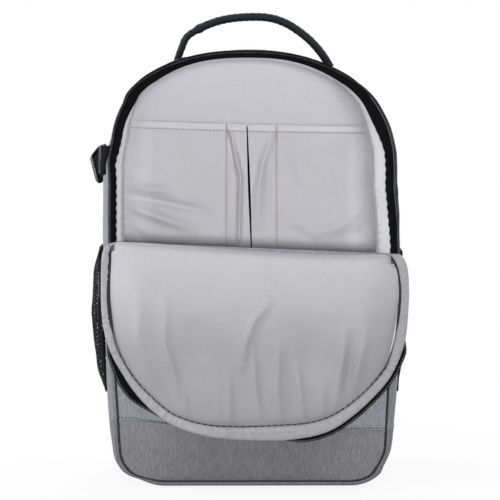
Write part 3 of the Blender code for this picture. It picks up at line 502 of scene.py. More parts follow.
def woven(name, dark, light, thread, bump, roughness, sheen, slant=0.0, blotch=0.05, rough_spread=0.08,
          fade=()):
    """Woven cloth: two crossed wave patterns as raised threads, and a soft drift of colour over the panel."""
    finish, tree, shader = start(name, roughness, sheen=sheen, specular=0.35)
    place = add(tree, "ShaderNodeTexCoord").outputs["Object"]
    turned = add(tree, "ShaderNodeMapping", {"Vector": place, "Rotation": (0, slant, 0)}).outputs["Vector"]
    scale = math.pi / 10 / thread
    warp = add(tree, "ShaderNodeTexWave", {"Vector": turned, "Scale": scale, "Distortion": 0.6},
               bands_direction="X").outputs["Fac"]
    weft = add(tree, "ShaderNodeTexWave", {"Vector": turned, "Scale": scale, "Distortion": 0.6},
               bands_direction="Z").outputs["Fac"]
    threads = add(tree, "ShaderNodeMath", {0: warp, 1: weft}, operation="MAXIMUM").outputs[0]
    drift = add(tree, "ShaderNodeTexNoise", {"Vector": place, "Scale": 1 / blotch,
                                             "Detail": 4.0}).outputs["Fac"]
    grain = add(tree, "ShaderNodeTexNoise", {"Vector": place, "Scale": 1 / (thread * 2), "Detail": 2.0})
    mixed = add(tree, "ShaderNodeMath", {0: drift, 1: grain.outputs["Fac"]}, operation="ADD").outputs[0]
    half = add(tree, "ShaderNodeMath", {0: mixed, 1: 0.5}, operation="MULTIPLY").outputs[0]
    cloth = ramp(tree, half, ((0.3, dark), (0.7, light)))
    cloth = shaded(tree, place, cloth, fade)
    tree.links.new(cloth, shader.inputs["Base Color"])
    spread_node = add(tree, "ShaderNodeMapRange", {"Value": drift, "To Min": roughness - rough_spread,
                                                   "To Max": roughness + rough_spread})
    tree.links.new(spread_node.outputs["Result"], shader.inputs["Roughness"])
    raise_up(tree, shader, threads, 0.5, bump)
    return finish


def twill(name, dark, light, *fade):
    """Lining cloth: fine, smooth and slanted."""
    return woven(name, dark, light, 0.0012, 0.00012, 0.58, 0.25, slant=0.6, fade=fade)


def heather(name, stops, roughness=0.85, fade=()):
    """Two-tone polyester: slubs drawn out along the warp, about six times as long as wide, over fine speckle."""
    finish, tree, shader = start(name, roughness, sheen=0.15, specular=0.3)
    place = add(tree, "ShaderNodeTexCoord").outputs["Object"]
    drawn = add(tree, "ShaderNodeMapping", {"Vector": place, "Scale": (1800, 1800, 330)}).outputs["Vector"]
    slub = add(tree, "ShaderNodeTexNoise", {"Vector": drawn, "Scale": 1.0, "Detail": 3.0, "Roughness": 0.6})
    broad = add(tree, "ShaderNodeMapping", {"Vector": place, "Scale": (760, 760, 130)}).outputs["Vector"]
    band = add(tree, "ShaderNodeTexNoise", {"Vector": broad, "Scale": 1.0, "Detail": 2.0})
    mixed = add(tree, "ShaderNodeMath", {0: slub.outputs["Fac"], 1: band.outputs["Fac"]}, operation="ADD")
    half = add(tree, "ShaderNodeMath", {0: mixed.outputs[0], 1: 0.5}, operation="MULTIPLY").outputs[0]
    tree.links.new(shaded(tree, place, ramp(tree, half, stops), fade), shader.inputs["Base Color"])
    weave = add(tree, "ShaderNodeTexWave", {"Vector": place, "Scale": math.pi / 10 / 0.0011,
                                            "Distortion": 1.2},
                bands_direction="DIAGONAL")
    height = add(tree, "ShaderNodeMath", {0: weave.outputs["Fac"], 1: slub.outputs["Fac"]}, operation="ADD")
    raise_up(tree, shader, height.outputs[0], 0.5, 0.0003)
    return finish


def ribbed(name, dark, light, rib, direction, roughness, bump=0.0003, specular=0.4):
    """Webbing and tape: ribs across one direction, dulled by fine noise."""
    finish, tree, shader = start(name, roughness, specular=specular)
    place = add(tree, "ShaderNodeTexCoord").outputs["Object"]
    ribs = add(tree, "ShaderNodeTexWave", {"Vector": place, "Scale": math.pi / 10 / rib, "Distortion": 0.8,
                                           "Detail": 1.0}, bands_direction=direction).outputs["Fac"]
    fuzz = add(tree, "ShaderNodeTexNoise", {"Vector": place, "Scale": 1400.0, "Detail": 2.0}).outputs["Fac"]
    both = add(tree, "ShaderNodeMath", {0: ribs, 1: fuzz}, operation="MULTIPLY").outputs[0]
    tree.links.new(ramp(tree, both, ((0.15, dark), (0.6, light))), shader.inputs["Base Color"])
    raise_up(tree, shader, ribs, 0.6, bump)
    return finish


def moulded(name, dark, light, roughness, metallic=0.0, grain=0.0009, bump=0.00008, specular=0.5, fade=()):
    """Moulded or cast surface: a faint grain in height, and worn patches that shine a little more."""
    finish, tree, shader = start(name, roughness, metallic=metallic, specular=specular)
    place = add(tree, "ShaderNodeTexCoord").outputs["Object"]
    spots = add(tree, "ShaderNodeTexNoise", {"Vector": place, "Scale": 1 / grain,
                                             "Detail": 3.0}).outputs["Fac"]
    wear = add(tree, "ShaderNodeTexNoise", {"Vector": place, "Scale": 90.0, "Detail": 5.0}).outputs["Fac"]
    tree.links.new(shaded(tree, place, ramp(tree, wear, ((0.3, dark), (0.75, light))), fade),
                   shader.inputs["Base Color"])
    worn = add(tree, "ShaderNodeMapRange", {"Value": wear, "To Min": roughness + 0.08,
                                            "To Max": roughness - 0.1})
    tree.links.new(worn.outputs["Result"], shader.inputs["Roughness"])
    raise_up(tree, shader, spots, 0.4, bump)
    return finish


def netting(name, dark, light, hole, open_share, stretch=(1, 1, 1)):
    """Knitted net: round cells on Object coordinates, see-through in the middle of each where it is open."""
    finish, tree, shader = start(name, 0.85, specular=0.12)
    place = add(tree, "ShaderNodeTexCoord").outputs["Object"]
    drawn = add(tree, "ShaderNodeMapping", {"Vector": place, "Scale": stretch}).outputs["Vector"]
    cells = add(tree, "ShaderNodeTexVoronoi", {"Vector": drawn, "Scale": 1 / hole, "Randomness": 0.25})
    distance = cells.outputs["Distance"]
    tree.links.new(ramp(tree, distance, ((0.1, dark), (0.7, light))), shader.inputs["Base Color"])
    if open_share:
        solid = add(tree, "ShaderNodeMath", {0: distance, 1: open_share}, operation="GREATER_THAN").outputs[0]
        tree.links.new(solid, shader.inputs["Alpha"])
    raise_up(tree, shader, distance, 0.8, 0.0006)
    return finish


COATED = ((0.34, "#616266"), (0.48, "#6D6D72"), (0.58, "#78787D"), (0.72, "#8E8F93"))
# painted shade: the coated cloth is painted darker towards the bottom
LOW_PAINTED_SHADE = ("Z", 0.064, 0.030, 0.88)
# Thread sizes are drawn two to four times too coarse, because 1 mm is one pixel and real threads are 0.3 mm.
finishes = {
    # polyester, dyed in two tones and woven: dull, with pale slubs standing in grey
    "heather": heather("heather_polyester", ((0.34, "#7C7D82"), (0.48, "#8A8B91"), (0.58, "#98999E"),
                                             (0.72, "#ACADB1"))),
    # the same cloth in the bag's side, which takes a cooler cast, darker towards the bottom below the side
    # pockets
    "gusset": heather("heather_polyester_side", ((0.34, "#75777F"), (0.5, "#858790"), (0.68, "#9799A1")),
                      fade=(("Z", 0.190, 0.145, 0.84),)),
    # coated polyester: the same grey, flatter; painted shade darkens it towards the bottom, and in the front
    # panel's finish painted light makes it paler towards the sides
    "base": heather("coated_polyester", COATED, 0.7, (LOW_PAINTED_SHADE, ("X", 0.045, 0.105, 1.24))),
    "base_side": heather("coated_polyester_side", COATED, 0.7, (LOW_PAINTED_SHADE,)),
    # nylon twill lining: smooth and soft, a little sheen on the crowns of its folds
    "lining": twill("nylon_twill_lining", "#C5C4C9", "#CFCED3"),
    # painted light: the back's cloth is painted paler towards the dome and towards the walls, to undo the
    # fall-off of light there
    "back_lining": twill("nylon_twill_back_lining_painted_light", "#C8C7CC", "#D2D1D6", ("Z", 0.368, 0.425, 1.06),
                         ("X", 0.100, 0.130, 1.34)),
    # painted light: the pockets' cloth is likewise painted paler towards the walls
    "pocket_lining": twill("nylon_twill_pocket_lining_painted_light", "#C5C4C9", "#CFCED3", ("X", 0.100, 0.130, 1.34)),
    # painted highlight: the turned hem is the same twill painted paler, where its edge catches the light, and
    # paler still towards the walls
    "hem": twill("nylon_twill_turned_hem_painted_highlight", "#D0CFD4", "#DAD9DE", ("X", 0.100, 0.130, 1.18)),
    # painted shade: the flap's lining is the same twill painted darker, and darker still towards its bottom
    "flap_lining": twill("nylon_twill_flap_lining_painted_shade", "#B1B0B5", "#BCBBC0", ("Z", 0.228, 0.145, 0.72)),
    "binding": woven("gathered_twill_binding", "#949396", "#AAA9AC", 0.0013, 0.0002, 0.62, 0.1, slant=0.8),
    "foam": woven("closed_cell_foam", "#D0D0CC", "#DCDCD8", 0.0016, 0.0002, 0.95, 0.0),
    "back": woven("plain_woven_polyester", "#313236", "#424347", 0.0013, 0.0003, 0.86, 0.1),
    "air_mesh": netting("spacer_mesh", "#141518", "#3A3B40", 0.0032, 0.0),
    "net": netting("knitted_stretch_mesh", "#0A0A0C", "#1C1C20", 0.0034, 0.38, (1, 1, 0.8)),
    # woven tapes: dense black, ribs along them
    "tape": ribbed("woven_zip_tape", "#050506", "#111113", 0.0012, "DIAGONAL", 0.85, specular=0.08),
    "webbing": ribbed("nylon_webbing", "#050506", "#111216", 0.0016, "DIAGONAL", 0.85, specular=0.06),
    "wrap": ribbed("wrapped_grip_fabric", "#090B0E", "#1B1F25", 0.0019, "X", 0.68, specular=0.25),
    "piping": ribbed("bound_piping", "#1C1D21", "#36373D", 0.0014, "Z", 0.62),
    # nylon coil and acetal: moulded, half gloss; the coil's black teeth are painted grey as a stand-in for their
    # highlights, with painted shade over the dome
    "coil": moulded("nylon_coil_painted_highlight_and_shade", "#606267", "#94969C", 0.4, specular=0.2, fade=(("Z", 0.345, 0.385, 0.45),)),
    "acetal": moulded("moulded_acetal", "#040405", "#0B0B0D", 0.5, specular=0.12),
    # painted highlight: the buckle's bars are the same acetal painted paler, where they catch the light
    "acetal_painted_highlight": moulded("acetal_with_painted_highlight", "#24262B", "#4A4D54", 0.32, specular=0.5),
    # zinc, blackened: dark metal that shines where it is handled
    "zinc": moulded("blackened_zinc", "#1E1F22", "#3C3D41", 0.34, metallic=0.9),
    "board": moulded("polyethylene_board", "#232426", "#2E2F31", 0.55),
    "thread": woven("bonded_thread", "#8E898B", "#A09B9C", 0.0006, 0.0001, 0.6, 0.1),
    "seam_thread": woven("bonded_thread_rose", "#BBB0B0", "#CBC1C2", 0.0006, 0.0001, 0.6, 0.1),
    "dark_thread": woven("bonded_thread_black", "#1B1A1B", "#2C2A2B", 0.0006, 0.0001, 0.8, 0.0),
}


# Shells, front panels and base

def wall_body(path, section, points=64, wave=0.0, seed=1):
    """A wall: a closed section, smoothed, whose points each follow the path at their own offset and swell."""
    section = spread(section, points, closed=True)
    lines = []
    for offset, y, swell in section:
        flat = path(offset, swell)
        lines.append(stand(flat, y))
    rings = np.stack(lines, axis=1)
    if wave:
        middle = np.array([0, 0, 0.22])
        out = rings - middle
        out[..., 1] = 0
        out /= np.linalg.norm(out, axis=-1)[..., None] + 1e-9
        depth = smooth((rings[..., 1] - FRONT) / 0.02) * smooth((BACK - rings[..., 1]) / 0.02)
        rings = rings + out * (ripple(rings, 0.07, wave, seed) * depth)[..., None]
    return rings


SHELL_SECTION = [
    (0.0040, -0.0750, 0.0), (0.0022, -0.0752, 0.0), (0.0006, -0.0735, 0.2), (0.0, -0.0651, 0.75),
    (0.0, -0.0530, 1.0), (0.0, -0.0180, 1.0), (0.0, 0.0180, 1.0), (0.0, 0.0530, 1.0), (0.0, 0.0662, 0.6),
    (0.0024, 0.0721, 0.1), (0.0072, 0.0750, 0.0), (0.0108, 0.0749, 0.0), (0.0105, 0.0732, 0.0),
    (0.0040, 0.0695, 0.0), (0.0040, 0.0400, 0.0), (0.0040, 0.0, 0.0), (0.0040, -0.0400, 0.0),
    (0.0040, -0.0680, 0.0),
]


def make_shell():
    """Side wall and base, whose section follows the outline, and two front panels in front of them."""
    rings = wall_body(lambda o, s: arch(SEAM_HEIGHT + GAP, o, s), SHELL_SECTION, 72, 0.0007, 3)
    make_piece("gusset_cloth", "root", ring_body(rings), "gusset", ["gusset_shell"])
    rings = wall_body(lambda o, s: cradle(SEAM_HEIGHT, o, s), SHELL_SECTION, 72, 0.0004, 4)
    make_piece("base_cloth", "root", ring_body(rings), "base_side", ["base_shell"])

    def front_face(seed, seam_low, seam_high):
        """Depth of a panel: a crown of the sixth power, a bell-shaped tuck at each seam, and ripples."""
        def depth(x, z, share):
            crown = 0.0021 * (1 - share ** 6)
            tuck = sum(0.0011 * np.exp(-((z - seam) / 0.0022) ** 2) for seam in (seam_low, seam_high) if seam)
            place = level(x, z)
            return FRONT - crown + tuck - ripple(place, 0.06, 0.0005, seed) * (1 - share ** 8)
        return depth

    inset = WALL + 2 * GAP + 0.0013
    low = region(BOTTOM, SEAM_HEIGHT, inset)
    shape = disc_body(low, front_face(5, None, SEAM_HEIGHT), flat_at(FRONT + WALL), 46)
    make_piece("front_base_cloth", "root", shape, "base", ["front_base_panel"])
    high = region(SEAM_HEIGHT + GAP, FOLD_HEIGHT, inset)
    shape = disc_body(high, front_face(6, SEAM_HEIGHT, None), flat_at(FRONT + WALL), 46)
    make_piece("front_upper_cloth", "root", shape, "heather", ["front_upper_panel"])
    half = 0.1335
    seam = [(x, FRONT - 0.0018, SEAM_HEIGHT + 0.0032) for x in np.linspace(-half, half, 60)]
    make_piece("front_seam_stitches", "root", stitch_body(seam, (0, -1, 0)), "dark_thread")
    line = cradle(FOLD_HEIGHT - GARAGE - GAP, WALL + GAP + 0.0013, 0.0)
    centres = stand(line, FRONT + 0.0006)
    rings = strap_rings(centres, (0, 1, 0), 0.0026, 0.0018, 12, 1.0)
    make_piece("piping_cord", "root", ring_body(rings), "piping", ["front_piping"])


# Linings and inner pockets

BACK_FOLDS = (
    (((-140, 303), (-123, 306)), 2.2, -1.3), (((-136, 297), (-111, 293), (-85, 290)), 4.5, 1.9),
    (((-137, 287), (-99, 280), (-46, 269)), 4.5, -1.7), (((-134, 276), (-99, 264), (-60, 250)), 5.5, 2.2),
    (((-137, 254), (-107, 239)), 4.5, -1.2), (((-127, 324), (-103, 320)), 4.0, 0.7),
    (((131, 282), (95, 252), (52, 241)), 7.0, 1.3), (((133, 260), (111, 241)), 5.0, -0.9),
    (((59, 342), (99, 336)), 7.0, 0.7), (((40, 252), (70, 237)), 5.0, -0.8),
    (((34, 330), (52, 290)), 8.0, -0.8),
)
BACK_EDGE = region(BOTTOM, BODY_HEIGHT, LINING_IN + GAP, 120)


def back_face(x, z):
    """Depth of the back lining's face: level, and curving forward in a hollow where it meets the walls."""
    distance = to_edge(np.stack([x, z], axis=-1), BACK_EDGE)
    radius = 0.004 + 0.002 * smooth((z - 0.19) / 0.03)
    return 0.0628 - radius * np.clip(1 - distance / radius, 0, 1) ** 2.2


def make_back_lining():
    """Linings of back, side walls and lower front; the walls' edge at the mouth puckers in a sine wave."""
    outline = region(BOTTOM, BODY_HEIGHT, LINING_IN + GAP, 200)

    def face(x, z, share):
        place = level(x, z)
        slack = (relief(x, z, BACK_FOLDS, 2.4) + ripple(place, 0.085, 0.0005, 8)) * (1 - share ** 8)
        return back_face(x, z) - slack * np.where(z > 0.372, 1.0, 0.5)

    piece = make_piece("back_lining_pad", "root",
                       disc_body(outline, face, flat_at(0.0689), 90), "back_lining",
                       ["back_lining"])
    section = [(LINING_OUT, -0.0700, 0.0), (LINING_OUT, 0.0, 0.0), (LINING_OUT, 0.0684, 0.0),
               (LINING_IN, 0.0684, 0.0),
               (0.0100, 0.0400, 0.0), (0.0130, 0.0, 0.0), (0.0156, -0.0350, 0.0), (0.0167, -0.0590, 0.0),
               (0.0163, -0.0672, 0.0), (0.0142, -0.0710, 0.0), (0.0090, -0.0722, 0.0)]
    lines = []
    for offset, y, swell in spread(section, 56, closed=True):
        flat = region(BOTTOM, BODY_HEIGHT, offset, 320)
        if offset > LINING_IN:
            share = smooth((flat[:, 1] - 0.350) / 0.050)[:, None]
            flat = flat * (1 - share) + region(BOTTOM, BODY_HEIGHT, min(offset, LINING_IN + 0.0012),
                                               320) * share
        middle = np.array([0, 0.22])
        run = runs(flat)
        pucker = 0.0005 * np.sin(run * 2 * math.pi / PUCKER_PITCH) * smooth((-0.04 - y) / 0.02)
        pucker = pucker * (offset > 0.0075) * smooth((0.372 - flat[:, 1]) / 0.04)
        inward = middle - flat
        flat = flat + inward / np.linalg.norm(inward, axis=1)[:, None] * pucker[:, None]
        lines.append(stand(flat, y))
    piece = make_piece("wall_lining_pad", "root", ring_body(np.stack(lines, axis=1), wrap=True), "lining",
                       ["wall_lining"])
    outline = region(BOTTOM, FOLD_HEIGHT - 0.005, LINING_IN + GAP, 110)
    piece = make_piece("front_lining_pad", "root",
                       disc_body(outline, flat_at(-0.0706),
                                 lambda x, z, s: -0.0668 + 0.0008 * (1 - s ** 6), 30),
                       "lining", ["front_lining"])


HEM_LEFT, HEM_RIGHT = 0.3650, 0.3590


def hem_height(x):
    """The pockets' hem: a straight line that drops to the right, with a slight sag between its ends."""
    share = (x + 0.125) / 0.250
    return HEM_LEFT + (HEM_RIGHT - HEM_LEFT) * share - 0.0012 * np.sin(np.pi * np.clip(share, 0, 1))


PEN_LEFT_FOLDS = (
    (((-24, 364), (-15, 328), (-10, 306), (-11, 253), (-12, 227)), 2.6, 2.4),
    (((-23, 352), (-17, 324)), 2.4, -1.3),
)
PEN_RIGHT_FOLDS = (
    (((25, 352), (13, 318), (9, 290), (8, 253)), 4.0, 1.5), (((20, 320), (19, 251)), 4.0, -0.8),
)


def make_pockets():
    """Four pockets ruled between side lines, bulging like half a sine across, with hems, seams and slit."""
    wall = side_line(0.18, 0.40, LINING_IN + 0.0012, 0.0, 120)

    def outer(z):
        """The wall lining's inner face at a height."""
        return np.interp(z, wall[:, 1], wall[:, 0])

    def slit(z, side):
        """One side of the slit: a slanted straight line, and a gap that widens in a bell curve."""
        gap = 0.0006 + 0.0007 * np.exp(-((z - 0.292) / 0.045) ** 2)
        return 0.0017 - 0.0048 * np.clip((z - 0.228) / 0.134, 0, 1) + side * gap

    spans = (("slip_pocket_left", lambda z: -outer(z), lambda z: -0.0251 + 0 * z, 0.0036, BACK_FOLDS, 0.107),
             ("pen_pocket_left", lambda z: -0.0250 + 0 * z, lambda z: slit(z, -1), 0.0030, PEN_LEFT_FOLDS,
              0.026),
             ("pen_pocket_right", lambda z: slit(z, 1), lambda z: 0.0288 + 0 * z, 0.0030, PEN_RIGHT_FOLDS,
              0.029),
             ("slip_pocket_right", lambda z: 0.0289 + 0 * z, outer, 0.0036, BACK_FOLDS, 0.107))
    for seed, (name, left, right, bulge, folds, flat_width) in enumerate(spans):
        u, v = np.meshgrid(np.linspace(0, 1, 130 if "slip" in name else 70), np.linspace(0, 1, 160))
        rough = left(0.290) + (right(0.290) - left(0.290)) * u
        z = POCKET_BOTTOM + (hem_height(rough) - POCKET_BOTTOM) * v
        x = left(z) + (right(z) - left(z)) * u
        place = level(x, z)
        edge = np.sin(np.pi * np.clip(u, 0.004, 0.996)) ** (0.8 if "slip" in name else 0.45)
        if name == "pen_pocket_left":
            edge = np.maximum(edge, smooth((u - 0.5) / 0.3))
        if name == "pen_pocket_right":
            edge = np.maximum(edge, smooth((0.5 - u) / 0.3))
        slack = bulge * edge * (0.50 + 0.50 * v) + relief(x, z, folds, 2.6) * np.minimum(edge * 2, 1)
        y = back_face(x, z) - 0.0032 - slack - ripple(place, 0.050, 0.0004, 20 + seed) * edge
        hem = 0.0006 * smooth((z - hem_height(x) + 0.0078) / 0.001)
        front = np.stack([x, y - hem, z], axis=-1)
        piece = make_piece(name + "_cloth", "root", pillow_body(front, front + [0, 0.0011, 0]),
                           "pocket_lining", [name])
        strip = front[-4, 1:-1] - [0, 0.0006, 0]
        make_piece(name + "_hem_cloth", "root", strap_body(strip, (0, 0, 1), 0.0068, 0.0010, 20, 0.5),
                   "hem")
        row = front[-8, 2:-2] - [0, 0.0014, 0]
        make_piece(name + "_hem_stitches", "root", stitch_body(row, (0, -1, 0), 0.0024, 0.0012, 0.00038),
                   "thread")
    for side, x in (("left", -0.02505), ("right", 0.02885)):
        z = np.linspace(0.196, hem_height(x) - 0.002, 60)
        line = np.column_stack([np.full(60, x), back_face(np.full(60, x), z) - 0.0052, z])
        make_piece("pen_seam_" + side, "root", stitch_body(line, (0, -1, 0), 0.0019, 0.0004, 0.00042, 0.0009),
                   "seam_thread")
        tack = line[-8:] + [0, -0.0004, 0.0025]
        make_piece("bar_tack_" + side, "root", stitch_body(tack, (0, -1, 0), 0.0008, 0.0002, 0.00045, 0.0017),
                   "seam_thread")
    # painted shadow: a black tape behind the slit between the pen pockets stands in for the shadow in the slit
    z = np.linspace(0.200, 0.3580, 60)
    line = np.column_stack([slit(z, 0), np.full(60, 0.0606), z])
    make_piece("pen_slit_painted_shadow", "root", strap_body(line, (1, 0, 0), 0.0046, 0.0010, 12, 0.4),
               "tape")


# Zips

def zip_band(name, tape, coil, y, body, tape_node, coil_node):
    """A flat tape between two lines, with rounded edges, and a wound coil along a third line."""
    inner, outer = tape
    inner, outer = np.asarray(inner), np.asarray(outer)
    lines = []
    for share, lift in ((0, 0.0002), (0.06, 0), (0.5, 0), (0.94, 0), (1, 0.0002), (1, 0.0010), (0.5, 0.0012),
                        (0, 0.0010)):
        flat = inner + (outer - inner) * share
        lines.append(stand(flat, y + lift))
    make_piece(name + "_tape_cloth", body, ring_body(np.stack(lines, axis=1)), "tape",
               [tape_node])
    outward = outer - inner
    outward = unit(outward)
    centres = stand(coil, y - 0.0003)
    across = stand(outward, 0.0)
    make_piece(name + "_coil_core", body, strap_body(centres, across, 0.0028, 0.0011, 12, 0.8),
               "tape")
    rings = coil_rings(coil, y - 0.0003, outward, 0.0022, 0.0020, TOOTH_PITCH, 0.00038)
    make_piece(name + "_coil_teeth", body, ring_body(rings), "coil", [coil_node], 60)


def make_mouth_zip():
    """Zip round the mouth: its tape's inner edge is the outline with smooth steps and a fine sine wave."""
    inner, outer, coil = (arch(FOLD_HEIGHT - GARAGE, offset, 0.0, 300) for offset in (0.0106, 0.0024, 0.0018))
    way = inner - outer
    way = unit(way)
    run = runs(inner)
    x, z = inner.T
    high = smooth((z - 0.383) / 0.022)
    right = (0.0038 * np.exp(-((z - 0.366) / 0.020) ** 2) - 0.0010 * smooth((0.275 - z) / 0.03))
    wide = np.where(x > 0, right, -0.0022 * smooth((0.342 - z) / 0.02)) - 0.0031 * smooth((z - 0.405) / 0.02)
    scallop = 0.0005 * np.sin(run * 2 * math.pi / PUCKER_PITCH) * smooth((0.372 - z) / 0.04)
    push = np.where(x < 0, 0.0017 * smooth((0.335 - z) / 0.03), 0.0)
    inner = inner + way * (wide + scallop + push)[:, None]
    shift = np.where(x > 0, -0.0014 * smooth((z - 0.250) / 0.03), 0.0) * (1 - high) + 0.0004 * high
    outer, coil = outer + way * (push - 0.0026 * high)[:, None], coil + way * (push + shift)[:, None]
    zip_band("mouth", (inner, outer), coil, -0.0766, "root", "mouth_zip_tape", "mouth_zip_coil")


# Flap, its fold and binding

# Outer edge of the hanging flap, from its top left corner round the bottom to its top right corner.
FLAP_EDGE = [
    (-0.1343, 0.2501), (-0.1423, 0.2464), (-0.1473, 0.2369), (-0.1484, 0.2189), (-0.1486, 0.1878),
    (-0.1462, 0.1617),
    (-0.1389, 0.1376), (-0.1285, 0.1184), (-0.1161, 0.0992), (-0.0987, 0.0805), (-0.0772, 0.0653),
    (-0.0501, 0.0557),
    (-0.0191, 0.0511), (0.0080, 0.0501), (0.0371, 0.0506), (0.0732, 0.0577), (0.1002, 0.0739),
    (0.1256, 0.0977),
    (0.1410, 0.1184), (0.1526, 0.1486), (0.1562, 0.1848), (0.1562, 0.2099), (0.1541, 0.2259),
    (0.1482, 0.2359),
    (0.1393, 0.2384),
]


def flap_line(offset=0.0, count=420):
    """The flap's edge, moved in by an offset along its own normals."""
    line = spread(FLAP_EDGE, count)
    along = np.gradient(line, axis=0)
    normals = np.column_stack([-along[:, 1], along[:, 0]])
    normals = unit(normals)
    return line + normals * offset


# The crease between the lining and the binding, in the same order.
FLAP_CREASE = [
    (-0.1355, 0.2481), (-0.1387, 0.2391), (-0.1395, 0.2183), (-0.1407, 0.1926), (-0.1374, 0.1638),
    (-0.1311, 0.1403),
    (-0.1163, 0.1144), (-0.0986, 0.0949), (-0.0778, 0.0778), (-0.0496, 0.0678), (-0.0193, 0.0649),
    (0.0234, 0.0659),
    (0.0580, 0.0688), (0.0839, 0.0778), (0.1095, 0.0969), (0.1312, 0.1209), (0.1390, 0.1403),
    (0.1447, 0.1687),
    (0.1471, 0.1966), (0.1444, 0.2203), (0.1384, 0.2341),
]
# Folds of the hanging lining: a broken line, a width and a height, all in mm; grooves have a negative height.
FLAP_FOLDS = (
    (((-110, 195), (-111, 155), (-95, 113)), 5.0, 2.0),
    (((-85, 193), (-85, 150), (-75, 115), (-69, 78)), 4.5, 2.2),
    (((-98, 177), (-92, 137)), 4.5, -0.8), (((-67, 106), (-63, 74)), 3.2, 1.1),
    (((-23, 121), (-21, 64)), 4.0, 1.8),
    (((-36, 102), (-28, 66)), 3.5, 1.0), (((18, 192), (2, 173), (-6, 150), (-9, 127)), 4.0, 2.7),
    (((22, 185), (10, 163), (6, 140), (9, 109), (17, 68)), 3.4, -0.6),
    (((3, 141), (4, 104), (10, 66)), 4.0, 1.8),
    (((27, 147), (25, 104), (30, 66)), 4.5, 2.3), (((38, 133), (41, 72)), 4.0, -0.7),
    (((45, 129), (52, 66)), 4.0, 1.6), (((70, 104), (72, 70)), 3.6, 1.1),
    (((92, 163), (87, 115), (83, 78)), 4.4, 2.3), (((100, 157), (94, 100)), 4.0, -1.1),
    (((114, 163), (106, 125), (100, 92)), 4.4, 2.3), (((-60, 181), (-52, 125)), 16.0, -2.2),
    (((60, 165), (58, 104)), 14.0, -1.6),
)


def crest(x):
    """Height of the rolled fold, which stands higher on the left and is rounded off at both ends."""
    share = (x + 0.1386) / 0.2777
    end = np.clip((np.abs(share - 0.5) - 0.470) / 0.030, 0, 1)
    return 0.2488 - 0.0130 * smooth(share * 1.15) ** 0.8 - 0.0045 * (1 - np.sqrt(1 - end ** 2 * 0.98))


